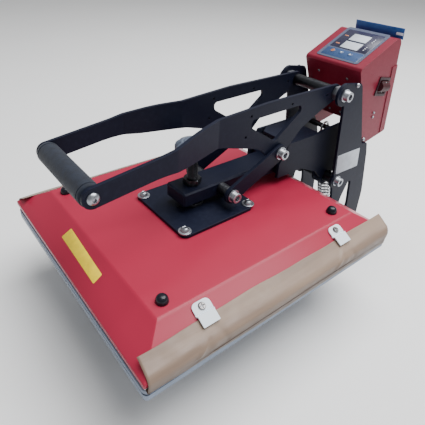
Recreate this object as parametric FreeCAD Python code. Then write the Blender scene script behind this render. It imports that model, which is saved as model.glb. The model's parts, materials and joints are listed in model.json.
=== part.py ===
import FreeCAD, Part
import math
import os

os.makedirs("parts", exist_ok=True)

# Flat heat press of the clamshell kind, in millimetres.
# The drawing datum is the plane of the cover's flat top: z is measured from it, and y runs back
# from the front of the machine. X is across, with the machine's plane of symmetry at x = 0.
# write() moves every piece so that the finished origin is on the table under mid length.
DATUM_HEIGHT = 165.0
MID_LENGTH = 302.95

# General clearances and play
GAP = 0.3
RUNNING = 0.05
EDGE_SHARE = 0.495
FASTENER_SIDES = 12
BORE_SIDES = 16
STEEL_PLATE = 5.0
SHEET_STEEL = 1.2

# Pivots of the closed press: handle on columns, press arm on columns, link ends
HANDLE_PIVOT = (446.4, 139.5)
PRESS_PIVOT = (482.2, -24.5)
LINK_TOP = (328.8, 69.8)
LINK_FOOT = (237.7, 27.2)

# Pivot fasteners, M10 socket heads on plain washers
BOLT_SHANK = 10.0
BOLT_HEAD = 16.0
BOLT_HEAD_HEIGHT = 8.0
WASHER_WIDTH = 20.0
WASHER_THICKNESS = 2.0
NUT_ACROSS = 16.0
NUT_HEIGHT = 7.0

# Heated upper platen, its bent sheet cover and the sheet wrapped round it
COVER_WIDTH = 400.0
COVER_DEPTH = 433.0
COVER_PIVOT_STEP = 53.2
BEVEL_RUN = 44.0
BEVEL_DROP = 26.0
COVER_LIP = 6.0
PLATEN_INSET = 2.0
PLATEN_THICKNESS = 13.0
PLATEN_BOTTOM = -38.0
PLATEN_CHAMFER = 4.0
WRAP_THICKNESS = 0.8
WRAP_FRONT_STEP = 8.0
WRAP_REAR_STEP = 4.0
WRAP_UPPER_EDGE = 21.0
WRAP_ROUNDING = 6.0
CLIP_WIDTH = 25.0
CLIP_THICKNESS = 1.5
CLIP_INSET = 96.0
CLIP_TOP_EDGE = 5.0
CLIP_TAB = 15.0
CLIP_LIP = 14.0
CLIP_SCREW_HEAD = 8.0
CLIP_SCREW_HEIGHT = 2.2
HEATER_TUBE = 8.0
HEATER_SIDE_MARGIN = 6.0
HEATER_END_MARGIN = 22.5
HEATER_LEGS = 2
HEATER_SIDES = 4
INSULATION_THICKNESS = 10.0
CUTOUT_WIDTH = 22.0
CUTOUT_HEIGHT = 9.0
CUTOUT_TAB = 7.0
CAP_INSET = 61.9
CAP_REAR_INSET = 69.6
CAP_WIDTH = 17.0
CAP_HEIGHT = 9.5
STUD_ACROSS = 10.0

# Mount plate on the cover and its four bolts
MOUNT_WIDTH = 130.0
MOUNT_FRONT_Y = 140.0
MOUNT_DEPTH = 136.0
MOUNT_CORNER = 9.0
MOUNT_REAR_CUT = 14.0
MOUNT_BOLT_X = 54.4
MOUNT_BOLT_FRONT_Y = 148.6
MOUNT_BOLT_REAR_Y = 265.4
MOUNT_BOLT_HEAD = 12.5
MOUNT_BOLT_HEAD_HEIGHT = 5.0
MOUNT_WASHER = 19.0
MOUNT_WASHER_THICKNESS = 1.6

# Press arm: beam bar, its cross shaft, and the yoke that turns on the lower shaft
BEAM_WIDTH = 46.0
BEAM_FRONT_Y = 170.0
BEAM_REAR_Y = 352.0
BEAM_BOTTOM = 17.6
BEAM_TOP = 38.0
BEAM_CHAMFER = 2.5
YOKE_WIDTH = 74.0
YOKE_BLOCK_DEPTH = 24.0
YOKE_WEB_FRONT_Y = 363.0
YOKE_WEB_REAR_Y = 437.0
YOKE_WEB_TOP = 71.0
YOKE_HUB_WIDTH = 34.0
YOKE_HUB_LENGTH = 19.0
LINK_SHAFT_WIDTH = 18.0
LINK_SHAFT_REACH = 43.7
LIFT_ROD = (500.0, 55.0)
LIFT_ROD_WIDTH = 10.0
EAR_REACH = 101.0
EAR_LEAN = 14.0
EAR_WIDTH = 16.0
EAR_MARGIN = 15.0
EAR_ROUNDING = 8.0
YOKE_WEB_TAPER = (10.0, 15.0)

# Adjusting screw, its seat and its hand knob
SCREW_Y = 200.0
SCREW_WIDTH = 16.0
SCREW_TOP = 84.0
SCREW_COLLAR_ACROSS = 24.0
SCREW_COLLAR_HEIGHT = 9.0
SEAT_WIDTH = 34.0
SEAT_HEIGHT = 5.0
KNOB_WIDTH = 50.0
KNOB_HEIGHT = 22.0
KNOB_LOBES = 8
KNOB_FLUTE = 3.6
KNOB_SHOULDER = 0.68
KNOB_CROWN = 0.66
KNOB_HUB = 28.0
KNOB_HUB_HEIGHT = 5.0
PRESSURE_TRAVEL = 6.0
GUIDE_PIN_WIDTH = 8.0
GUIDE_PIN_FRONT_Y = 177.5
GUIDE_PIN_REAR_Y = 262.0

# Handle: two bent side plates, a grip in front and a spacer bar at the back
ARM_INNER_X = 38.0
ARM_FRONT_OUTER_X = 67.0
ARM_BEND_REAR_Y = 210.0
ARM_BEND_FRONT_Y = 130.0
ARM_BEND_RADIUS = 12.0
ARM_TAIL_EYE = 12.5
ARM_LOBE_EYE = 18.0
ARM_SMALL_HOLE = 3.5
GRIP = (23.5, 111.5)
GRIP_WIDTH = 28.0
GRIP_CHAMFER = 2.5
GRIP_CORE = 20.0
GRIP_EYE = 12.5
GRIP_SCREW_HEAD = 15.0
GRIP_SCREW_HEIGHT = 4.5
SPACER_BAR = 18.0

# Link plates
LINK_THICKNESS = 5.5
LINK_EYE = 13.0
LINK_PLAY = 1.0

# Columns
COLUMN_INNER_X = 55.5
COLUMN_TOP_EYE = 18.0
COLUMN_LOWER_EYE = 15.0
COLUMN_NECK = (4.0, -16.0)
LOWER_SHAFT = 20.0
COLUMN_BOLT_ACROSS = 13.0
COLUMN_BOLT_HEIGHT = 5.5

# Base frame, feet and lower platen
RAIL_WIDTH = 30.0
RAIL_HEIGHT = 25.0
RAIL_WALL = 2.0
RAIL_FRONT_Y = 50.0
RAIL_REAR_Y = 565.0
END_CAP_FLANGE = 3.0
END_CAP_PLUG = 10.0
FOOT_WIDTH = 28.0
FOOT_TIP = 24.0
FOOT_HEIGHT = 12.0
FOOT_FROM_END = 22.0
POST_WIDTH = 22.0
POST_PLATE = 29.0
POST_PLATE_THICKNESS = 4.0
POST_FRONT_Y = 90.0
POST_REAR_Y = 335.0
PAD_THICKNESS = 8.0
PAD_CORNER = 8.0
LOWER_PLATEN_THICKNESS = 9.0
LOWER_PLATEN_CORNER = 6.0
SPRING_ANCHOR = (556.0, -128.0)
SPRING_ANCHOR_WIDTH = 12.0

# Lift spring
SPRING_WIDTH = 27.0
SPRING_WIRE = 4.0
SPRING_SIDES = 4
SPRING_PITCH = 15.0
SPRING_HOOK = 9.5
SPRING_NECK = 9.0

# Control box: walls and fittings
BOX_WALL = 1.5
BOX_FRONT_ROUNDING = 10.0
BOX_REAR_ROUNDING = 12.0
BOX_REAR_COVER_DEPTH = 13.5
BOX_REAR_COVER_TOP = 8.0
BOX_REAR_COVER_END = 2.0
BOX_SCREW_HEAD = 7.5
BOX_SCREW_HEIGHT = 2.4
PAIR_SCREW_HEAD = 4.5
PANEL_WIDTH = 82.0
PANEL_DEPTH = 88.0
PANEL_START = 6.0
PANEL_CORNER = 5.0
PANEL_THICKNESS = 0.8
DISPLAY_WIDTH = 33.0
DISPLAY_DEPTH = 18.5
DISPLAY_SPACING = 22.5
DISPLAY_START = 37.0
BOARD_WIDTH = 80.0
BOARD_DEPTH = 78.0
BOARD_START = 12.0
BOARD_DROP = 10.0
BOARD_THICKNESS = 2.0
KEY_WIDTH = 9.0
KEY_CORNER = 2.5
KEY_STEM = 5.0
KEY_PITCH = 17.0
KEY_FIRST_X = -20.0
KEY_LINE = 24.0
KEY_TRAVEL = 0.6
KEY_RISE = 0.8
SWITCH = (558.0, 133.0)
SWITCH_LENGTH = 33.5
SWITCH_HEIGHT = 31.0
SWITCH_DEPTH = 22.0
SWITCH_WELL = 10.0
BEZEL_THICKNESS = 2.0
BEZEL_RIM = 3.5
ROCKER_TILT = 10.0
ROCKER_ROOT = 6.0
ROCKER_ROOT_WIDTH = 16.0
ROCKER_AXIS = 1.0
ROCKER_SIDE_GAP = 1.1
INLET_WIDTH = 27.0
INLET_HEIGHT = 20.0
INLET_DEPTH = 24.0
INLET_FLANGE = 4.5
INLET_FLANGE_THICKNESS = 2.5
INLET_WALL = 2.5
INLET_SOCKET = 14.0
INLET_PLACE = 0.62

# Outlines of the plates, as (y, z, rounding) corners
COLUMN_REAR_EDGE = [
    (485.0, 151.5, 4), (489.5, 147.0, 4), (535.5, 35.0, 3), (553.4, 32.4, 6), (562.0, 10.0, 60),
    (587.0, -83.0, 120), (591.0, -142.0, 4),
]
COLUMN_FRONT_EDGE = [(432.0, -138.0, 10), (470.0, -112.0, 40), (484.0, -66.0, 60), (474.6, -36.0, 20)]
COLUMN_FOOT_FRONT_Y = 430.0
COLUMN_SLOT = [
    (529.5, -28.0, 5), (544.0, -100.0, 60), (541.0, -124.0, 9), (508.0, -124.0, 9), (512.0, -74.0, 60),
]
COLUMN_BOLTS = [(448.0, -141.0), (530.0, -141.0)]
COLUMN_SCREW = (474.7, 150.4)
EAR_SCREW = (545.0, 39.0)
SIDE_PAIR_SCREWS = [(554.3, 87.5), (554.9, 79.5)]
CHEEK_TOP_EDGE = [(345.0, BEAM_TOP, 0), (YOKE_WEB_FRONT_Y, YOKE_WEB_TOP, 0)]
CHEEK_LOWER_EDGE = [(448.0, -6.0, 30), (405.0, 14.0, 0), (345.0, 14.0, 0)]
ARM_TOP_EDGE = [(110.0, 134.0, 300), (172.0, 144.5, 300), (300.0, 152.0, 200)]
ARM_LOWER_EDGE = [(416.0, 116.0, 40), (376.0, 96.5, 20), (346.0, 66.0, 0)]
ARM_NECK_EDGE = [
    (311.5, 64.0, 0), (289.0, 85.0, 60), (212.0, 107.5, 60), (150.0, 107.0, 200), (112.0, 109.5, 200),
]
ARM_WINDOW = [(267.5, 133.4, 8), (267.5, 122.6, 8), (319.5, 89.6, 5), (369.0, 126.0, 5), (366.0, 135.2, 5)]
ARM_HOLES = [(258.6, 111.0), (265.9, 139.4), (346.2, 140.6), (425.0, 139.1)]
BOX_FRONT_FOOT = (525.0, 72.0)
BOX_FRONT_KNEE = (482.6, 168.0)
BOX_PANEL_FRONT = (484.0, 172.5)
BOX_PANEL_REAR = (578.0, 213.0)
BOX_REAR_KNEE = (585.5, 173.0)
BOX_REAR_FOOT = (609.0, 40.0)
BOX_EAR = [(543.0, 29.0), (560.0, 30.8)]

# Sizes that follow from the ones above
COLUMN_OUTER_X = COLUMN_INNER_X + STEEL_PLATE
ARM_OUTER_X = ARM_INNER_X + STEEL_PLATE
LINK_INNER_X = ARM_OUTER_X + LINK_PLAY
LINK_OUTER_X = LINK_INNER_X + LINK_THICKNESS
TABLE = -DATUM_HEIGHT
RAIL_BOTTOM = TABLE + FOOT_HEIGHT
RAIL_TOP = RAIL_BOTTOM + RAIL_HEIGHT
RAIL_INNER_X = COLUMN_OUTER_X
RAIL_OUTER_X = RAIL_INNER_X + RAIL_WIDTH
RAIL_MIDDLE_X = (RAIL_INNER_X + RAIL_OUTER_X) / 2
COVER_REAR = PRESS_PIVOT[0] - COVER_PIVOT_STEP
COVER_FRONT = COVER_REAR - COVER_DEPTH
COVER_MIDDLE_Y = (COVER_FRONT + COVER_REAR) / 2
BEVEL_SLOPE = math.atan2(BEVEL_DROP, BEVEL_RUN)
LIP_BOTTOM = -BEVEL_DROP - COVER_LIP
CAP_X = COVER_WIDTH / 2 - CAP_INSET
CAP_FRONT_Y = COVER_FRONT + CAP_INSET
CAP_REAR_Y = COVER_REAR - CAP_REAR_INSET
HEATER_SPREAD = COVER_WIDTH / 2 - BEVEL_RUN - HEATER_SIDE_MARGIN
HEATER_REACH = COVER_DEPTH / 2 - BEVEL_RUN - HEATER_END_MARGIN
PLATEN_TOP = PLATEN_BOTTOM + PLATEN_THICKNESS
PAD_TOP = PLATEN_BOTTOM - WRAP_THICKNESS - GAP
PAD_BOTTOM = PAD_TOP - PAD_THICKNESS
LOWER_PLATEN_BOTTOM = PAD_BOTTOM - LOWER_PLATEN_THICKNESS
YOKE_OUTER_X = YOKE_WIDTH / 2
YOKE_INNER_X = YOKE_OUTER_X - STEEL_PLATE
BOX_HALF = COLUMN_INNER_X - RUNNING
BOX_LEAN = 10.0


def box(x0, x1, y0, y1, z0, z1):
    """A block between two corners."""
    return Part.makeBox(x1 - x0, y1 - y0, z1 - z0, FreeCAD.Vector(x0, y0, z0))


def rod_x(place, width, x0, x1):
    """A round bar along X round a (y, z) place."""
    start = FreeCAD.Vector(min(x0, x1), place[0], place[1])
    return Part.makeCylinder(width / 2, abs(x1 - x0), start, FreeCAD.Vector(1, 0, 0))


def rod_z(x, y, width, z0, z1):
    """A round bar along Z."""
    return Part.makeCylinder(width / 2, z1 - z0, FreeCAD.Vector(x, y, z0))


def polygon(place, across, sides):
    """Corners of a regular polygon, with its size across the flats and a flat at the bottom."""
    radius = across / 2 / math.cos(math.pi / sides)
    corners = []
    for step in range(sides):
        angle = 2 * math.pi * (step + 0.5) / sides - math.pi / 2
        corners.append((place[0] + radius * math.cos(angle), place[1] + radius * math.sin(angle), 0))
    return corners


def facet_x(place, width, x0, x1):
    """A small round piece along X, made many-sided with its corners on the circle of that width."""
    across = width * math.cos(math.pi / FASTENER_SIDES)
    return plate_x(polygon(place, across, FASTENER_SIDES), x0, x1)


def facet_z(x, y, width, z0, z1):
    """A small round piece along Z, made many-sided with its corners on the circle of that width."""
    across = width * math.cos(math.pi / FASTENER_SIDES)
    return plate_z(polygon((x, y), across, FASTENER_SIDES), z0, z1)


def rounded_wire(corners, place):
    """A closed wire through (a, b, radius) corners, each rounded by a tangent arc; place maps (a, b).

    A rounding takes at most EDGE_SHARE of the shorter edge beside it, so neighbours never meet.
    """
    count = len(corners)
    ends = []
    for index in range(count):
        a, b, radius = corners[index]
        here = FreeCAD.Vector(a, b, 0)
        last = FreeCAD.Vector(corners[index - 1][0], corners[index - 1][1], 0)
        following = corners[(index + 1) % count]
        after = FreeCAD.Vector(following[0], following[1], 0)
        if radius <= 0:
            ends.append((here, here, here))
            continue
        room = min((last - here).Length, (after - here).Length)
        back = (last - here).normalize()
        ahead = (after - here).normalize()
        half = back.getAngle(ahead) / 2
        reach = min(radius / math.tan(half), EDGE_SHARE * room)
        radius = reach * math.tan(half)
        middle = (back + ahead).normalize()
        centre = here + middle * (radius / math.sin(half))
        ends.append((here + back * reach, centre - middle * radius, here + ahead * reach))
    edges = []
    for index in range(count):
        start, middle, end = ends[index]
        if (start - end).Length > 1e-6:
            edges.append(Part.Arc(place(start), place(middle), place(end)).toShape())
        begin = ends[(index + 1) % count][0]
        if (begin - end).Length > 1e-6:
            edges.append(Part.makeLine(place(end), place(begin)))
    return Part.Wire(edges)


def plate_x(corners, x0, x1):
    """A plate between x0 and x1 whose outline is given as (y, z, radius) corners."""
    wire = rounded_wire(corners, lambda point: FreeCAD.Vector(x0, point.x, point.y))
    return Part.Face(wire).extrude(FreeCAD.Vector(x1 - x0, 0, 0))


def plate_y(corners, y0, y1):
    """A plate between y0 and y1 whose outline is given as (x, z, radius) corners."""
    wire = rounded_wire(corners, lambda point: FreeCAD.Vector(point.x, y0, point.y))
    return Part.Face(wire).extrude(FreeCAD.Vector(0, y1 - y0, 0))


def plate_z(corners, z0, z1):
    """A plate between z0 and z1 whose outline is given as (x, y, radius) corners."""
    wire = rounded_wire(corners, lambda point: FreeCAD.Vector(point.x, point.y, z0))
    return Part.Face(wire).extrude(FreeCAD.Vector(0, 0, z1 - z0))


def rectangle(x0, x1, y0, y1, rounding):
    """Corners of a rectangle, all with the same rounding."""
    return [(x0, y0, rounding), (x1, y0, rounding), (x1, y1, rounding), (x0, y1, rounding)]


def turned_z(profile, sides, x, y, z):
    """A turned piece about a vertical axis from (width, height) corners, bottom first, with flat faces."""
    rings = []
    for width, height in profile:
        across = width * math.cos(math.pi / sides)
        rings.append([FreeCAD.Vector(a, b, z + height) for a, b, _ in polygon((x, y), across, sides)])
    faces = [Part.Face(Part.makePolygon(ring + ring[:1])) for ring in (rings[0], rings[-1])]
    for low, high in zip(rings, rings[1:]):
        for index in range(sides):
            corners = [low[index - 1], low[index], high[index], high[index - 1]]
            faces.append(Part.Face(Part.makePolygon(corners + corners[:1])))
    solid = Part.Solid(Part.Shell(faces))
    return solid if solid.Volume > 0 else solid.reversed()


def prismatoid(low, high):
    """A solid with flat faces between two rings of points that lie in parallel planes."""
    faces = [Part.Face(Part.makePolygon(ring + ring[:1])) for ring in (low, high)]
    for index in range(len(low)):
        corners = [low[index - 1], low[index], high[index], high[index - 1]]
        faces.append(Part.Face(Part.makePolygon(corners + corners[:1])))
    solid = Part.Solid(Part.Shell(faces))
    return solid if solid.Volume > 0 else solid.reversed()


def fuse(pieces):
    """One solid from pieces that touch or overlap."""
    return pieces[0].multiFuse(pieces[1:]).removeSplitter()


def mirrored(shape):
    """The same piece on the other side of the plane of symmetry."""
    return shape.mirror(FreeCAD.Vector(0, 0, 0), FreeCAD.Vector(1, 0, 0))


def both_sides(shape):
    """A piece and its mirror image."""
    return [shape, mirrored(shape)]


def inset(points, wall):
    """The polygon inside another one, each edge moved in by the wall."""
    count = len(points)
    area = 0.0
    for index in range(count):
        y0, z0 = points[index]
        y1, z1 = points[(index + 1) % count]
        area += y0 * z1 - y1 * z0
    side = math.copysign(wall, area)
    lines = []
    for index in range(count):
        y0, z0 = points[index]
        y1, z1 = points[(index + 1) % count]
        length = math.hypot(y1 - y0, z1 - z0)
        dy, dz = (y1 - y0) / length, (z1 - z0) / length
        lines.append((y0 - side * dz, z0 + side * dy, dy, dz))
    inner = []
    for index in range(count):
        ya, za, dya, dza = lines[index - 1]
        yb, zb, dyb, dzb = lines[index]
        along = ((yb - ya) * dzb - (zb - za) * dyb) / (dya * dzb - dza * dyb)
        inner.append((ya + dya * along, za + dza * along))
    return inner


def write(name, shapes):
    """Save one node as a group of solids, moved to the finished origin."""
    if not isinstance(shapes, list):
        shapes = [shapes]
    solids = []
    for shape in shapes:
        solids.extend(shape.Solids)
    group = Part.makeCompound(solids) if len(solids) > 1 else solids[0]
    group.translate(FreeCAD.Vector(0, -MID_LENGTH, DATUM_HEIGHT))
    group.exportStep("parts/" + name + ".step")


def pivot_bolt(place, seat_x, tip_x):
    """A socket head bolt along X with its washer on seat_x and its shank ending at tip_x."""
    head_x = seat_x + WASHER_THICKNESS
    return fuse([
        facet_x(place, BOLT_SHANK, tip_x, seat_x),
        facet_x(place, WASHER_WIDTH, seat_x, head_x),
        facet_x(place, BOLT_HEAD, head_x, head_x + BOLT_HEAD_HEIGHT),
    ])


def running_bore(place, width, x0, x1):
    """The bore in which a round piece of this width turns."""
    return plate_x(polygon(place, width + 2 * RUNNING, BORE_SIDES), x0 - 1, x1 + 1)


# Base frame

def make_base():
    """Two box-section rails joined by cross members, on four rubber feet."""
    rail = box(RAIL_INNER_X, RAIL_OUTER_X, RAIL_FRONT_Y, RAIL_REAR_Y, RAIL_BOTTOM, RAIL_TOP)
    bore = box(
        RAIL_INNER_X + RAIL_WALL, RAIL_OUTER_X - RAIL_WALL, RAIL_FRONT_Y - 1, RAIL_REAR_Y + 1,
        RAIL_BOTTOM + RAIL_WALL, RAIL_TOP - RAIL_WALL,
    )
    rail = rail.cut(bore)
    write("base_rail_right", rail)
    write("base_rail_left", mirrored(rail))

    members = []
    reach = RAIL_WIDTH / 2
    for y in (POST_FRONT_Y, POST_REAR_Y):
        outer = box(-RAIL_INNER_X, RAIL_INNER_X, y - reach, y + reach, RAIL_BOTTOM, RAIL_TOP)
        hollow = box(
            -RAIL_INNER_X - 1, RAIL_INNER_X + 1, y - reach + RAIL_WALL, y + reach - RAIL_WALL,
            RAIL_BOTTOM + RAIL_WALL, RAIL_TOP - RAIL_WALL,
        )
        members.append(outer.cut(hollow))
    write("base_cross_members", members)

    caps = []
    inward = RAIL_WALL + GAP
    for y, way in ((RAIL_FRONT_Y, 1), (RAIL_REAR_Y, -1)):
        outside = y - way * END_CAP_FLANGE
        inside = y + way * END_CAP_PLUG
        flange = box(RAIL_INNER_X, RAIL_OUTER_X, min(y, outside), max(y, outside), RAIL_BOTTOM, RAIL_TOP)
        plug = box(
            RAIL_INNER_X + inward, RAIL_OUTER_X - inward, min(y, inside), max(y, inside),
            RAIL_BOTTOM + inward, RAIL_TOP - inward,
        )
        caps += both_sides(fuse([flange, plug]))
    write("rail_end_caps", caps)

    feet = []
    profile = [(FOOT_TIP, 0), (FOOT_WIDTH, FOOT_HEIGHT)]
    for y in (RAIL_FRONT_Y + FOOT_FROM_END, RAIL_REAR_Y - FOOT_FROM_END):
        feet += both_sides(turned_z(profile, FASTENER_SIDES, RAIL_MIDDLE_X, y, TABLE))
    write("rubber_feet", feet)


# Lower platen

def make_lower_platen():
    """Aluminium plate on four posts, with the silicone pad on top."""
    half = COVER_WIDTH / 2
    outline = rectangle(-half, half, COVER_FRONT, COVER_REAR, LOWER_PLATEN_CORNER)
    write("lower_platen", plate_z(outline, LOWER_PLATEN_BOTTOM, PAD_BOTTOM))
    outline = rectangle(-half, half, COVER_FRONT, COVER_REAR, PAD_CORNER)
    write("silicone_pad", plate_z(outline, PAD_BOTTOM, PAD_TOP))

    posts = []
    x = RAIL_MIDDLE_X
    for y in (POST_FRONT_Y, POST_REAR_Y):
        layers = []
        for width, z0, z1 in (
            (POST_PLATE, RAIL_TOP, RAIL_TOP + POST_PLATE_THICKNESS),
            (POST_WIDTH, RAIL_TOP, LOWER_PLATEN_BOTTOM),
            (POST_PLATE, LOWER_PLATEN_BOTTOM - POST_PLATE_THICKNESS, LOWER_PLATEN_BOTTOM),
        ):
            half = width / 2
            layers.append(box(x - half, x + half, y - half, y + half, z0, z1))
        posts += both_sides(fuse(layers))
    write("platen_posts", posts)


# Columns and fixed pivots

def make_columns():
    """The two side plates that carry both pivots and the control box, with their shafts and bolts."""
    x0, x1 = COLUMN_INNER_X, COLUMN_OUTER_X
    foot = RAIL_BOTTOM + RAIL_WALL
    outline = COLUMN_REAR_EDGE + [(COLUMN_REAR_EDGE[-1][0], foot, 0), (COLUMN_FOOT_FRONT_Y, foot, 0)]
    outline += COLUMN_FRONT_EDGE
    outline += [
        (HANDLE_PIVOT[0] + COLUMN_NECK[0], HANDLE_PIVOT[1] + COLUMN_NECK[1], 0),
        (HANDLE_PIVOT[0], HANDLE_PIVOT[1] + COLUMN_TOP_EYE, 0),
    ]
    plate = fuse([
        plate_x(outline, x0, x1),
        rod_x(HANDLE_PIVOT, 2 * COLUMN_TOP_EYE, x0, x1),
        rod_x(PRESS_PIVOT, 2 * COLUMN_LOWER_EYE, x0, x1),
    ])
    plate = plate.cut([
        plate_x(COLUMN_SLOT, x0 - 1, x1 + 1),
        running_bore(HANDLE_PIVOT, BOLT_SHANK, x0, x1),
        running_bore(PRESS_PIVOT, BOLT_SHANK, x0, x1),
    ])
    write("column_right", plate)
    write("column_left", mirrored(plate))

    heads = []
    for place in COLUMN_BOLTS:
        head = plate_x(polygon(place, COLUMN_BOLT_ACROSS, 6), x0 - COLUMN_BOLT_HEIGHT, x0)
        heads += both_sides(head)
    write("column_bolts", heads)

    write("lower_pivot_shaft", rod_x(PRESS_PIVOT, LOWER_SHAFT, -x0, x0))
    write("spring_anchor_rod", rod_x(SPRING_ANCHOR, SPRING_ANCHOR_WIDTH, -x0, x0))
    top = pivot_bolt(HANDLE_PIVOT, x1, ARM_INNER_X + GAP)
    low = pivot_bolt(PRESS_PIVOT, x1, x0)
    write("column_pivot_bolts", both_sides(top) + both_sides(low))
    bush = plate_x(polygon(HANDLE_PIVOT, WASHER_WIDTH, 6), ARM_OUTER_X + GAP, x0)
    bush = bush.cut(running_bore(HANDLE_PIVOT, BOLT_SHANK, ARM_OUTER_X, x0))
    write("handle_pivot_bushes", both_sides(bush))


# Press arm

def make_press_arm():
    """Beam bar with its cross shaft, and the plate yoke that turns on the lower shaft."""
    half = BEAM_WIDTH / 2
    bar = box(-half, half, BEAM_FRONT_Y, BEAM_REAR_Y, BEAM_BOTTOM, BEAM_TOP)
    eased = []
    for edge in bar.Edges:
        centre = edge.CenterOfMass
        at_front = abs(centre.y - BEAM_FRONT_Y) < 0.01 and centre.z > BEAM_BOTTOM + 1
        along_top = abs(centre.z - BEAM_TOP) < 0.01 and abs(centre.x) > 1
        if at_front or along_top:
            eased.append(edge)
    bar = bar.makeChamfer(BEAM_CHAMFER, eased)
    block = box(
        -YOKE_INNER_X, YOKE_INNER_X, BEAM_REAR_Y - 1, BEAM_REAR_Y + YOKE_BLOCK_DEPTH, BEAM_BOTTOM, BEAM_TOP,
    )
    bar = fuse([bar, block])
    bores = [
        rod_x(LINK_FOOT, LINK_SHAFT_WIDTH, -half - 1, half + 1),
        rod_z(0, SCREW_Y, SCREW_WIDTH + 2 * RUNNING, BEAM_BOTTOM - 1, BEAM_TOP + 1),
    ]
    for y in (GUIDE_PIN_FRONT_Y, GUIDE_PIN_REAR_Y):
        pocket = polygon((0, y), GUIDE_PIN_WIDTH + 2 * RUNNING, FASTENER_SIDES)
        bores.append(plate_z(pocket, BEAM_BOTTOM - 1, BEAM_TOP - STEEL_PLATE))
    write("press_beam", bar.cut(bores))

    write("link_cross_shaft", rod_x(LINK_FOOT, LINK_SHAFT_WIDTH, -LINK_SHAFT_REACH, LINK_SHAFT_REACH))
    foot_bolt = pivot_bolt(LINK_FOOT, LINK_OUTER_X + GAP, LINK_SHAFT_REACH)
    write("link_foot_bolts", both_sides(foot_bolt))

    pivot_y, pivot_z = PRESS_PIVOT
    lean = math.radians(EAR_LEAN)
    ear = (pivot_y - EAR_REACH * math.sin(lean), pivot_z + EAR_REACH * math.cos(lean), EAR_ROUNDING)
    outline = CHEEK_TOP_EDGE + [
        (YOKE_WEB_REAR_Y, YOKE_WEB_TOP, 0), ear, (pivot_y + EAR_WIDTH, pivot_z + EAR_REACH, EAR_ROUNDING),
        (LIFT_ROD[0] + EAR_MARGIN, LIFT_ROD[1], 0), (pivot_y + YOKE_HUB_WIDTH / 2, pivot_z, 0),
        (pivot_y, pivot_z - YOKE_HUB_WIDTH / 2, 0),
    ] + CHEEK_LOWER_EDGE
    cheek = fuse([
        plate_x(outline, YOKE_INNER_X, YOKE_OUTER_X),
        rod_x(PRESS_PIVOT, YOKE_HUB_WIDTH, YOKE_OUTER_X - YOKE_HUB_LENGTH, YOKE_OUTER_X),
    ])
    write("yoke_cheeks", both_sides(cheek.cut(running_bore(PRESS_PIVOT, LOWER_SHAFT, 0, YOKE_OUTER_X))))

    set_in, set_back = YOKE_WEB_TAPER
    side = [
        (YOKE_INNER_X, YOKE_WEB_REAR_Y, 0), (YOKE_INNER_X, YOKE_WEB_FRONT_Y + set_back, 0),
        (YOKE_INNER_X - set_in, YOKE_WEB_FRONT_Y, 0),
    ]
    outline = side + [(-x, y, rounding) for x, y, rounding in reversed(side)]
    write("yoke_web", plate_z(outline, YOKE_WEB_TOP - STEEL_PLATE, YOKE_WEB_TOP))
    write("lift_rod", facet_x(LIFT_ROD, LIFT_ROD_WIDTH, -YOKE_INNER_X, YOKE_INNER_X))


# Upper platen group

def bevel_point(distance, lift):
    """(x, z) on the right bevel, at a distance down it from the crease and a height square to it."""
    crease_x = COVER_WIDTH / 2 - BEVEL_RUN
    return (
        crease_x + distance * math.cos(BEVEL_SLOPE) + lift * math.sin(BEVEL_SLOPE),
        -distance * math.sin(BEVEL_SLOPE) + lift * math.cos(BEVEL_SLOPE),
    )


def tray(wall, bottom):
    """The cover's form, set in by a wall on every side: a skirt under a bevelled crown."""
    half_x = COVER_WIDTH / 2 - wall
    half_y = COVER_DEPTH / 2 - wall
    crown_in = BEVEL_RUN + wall * math.tan(BEVEL_SLOPE / 2) - wall
    bend_z = -BEVEL_DROP - wall * math.tan((math.pi / 2 - BEVEL_SLOPE) / 2)

    def ring(inset_by, z):
        x = half_x - inset_by
        y = half_y - inset_by
        return [FreeCAD.Vector(a, COVER_MIDDLE_Y + b, z) for a, b in ((-x, -y), (x, -y), (x, y), (-x, y))]

    skirt = box(-half_x, half_x, COVER_MIDDLE_Y - half_y, COVER_MIDDLE_Y + half_y, bottom, bend_z)
    return fuse([skirt, prismatoid(ring(0, bend_z), ring(crown_in, -wall))])


def make_cover():
    """The bent sheet cover over the heated platen."""
    write("cover_tray", tray(0, LIP_BOTTOM).cut(tray(SHEET_STEEL, LIP_BOTTOM - 1)))


def stud_places():
    """Centres of the studs under the four caps and the four mount bolts."""
    places = []
    for x, front, rear in (
        (CAP_X, CAP_FRONT_Y, CAP_REAR_Y), (MOUNT_BOLT_X, MOUNT_BOLT_FRONT_Y, MOUNT_BOLT_REAR_Y),
    ):
        for y in (front, rear):
            places += [(-x, y), (x, y)]
    return places


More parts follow.
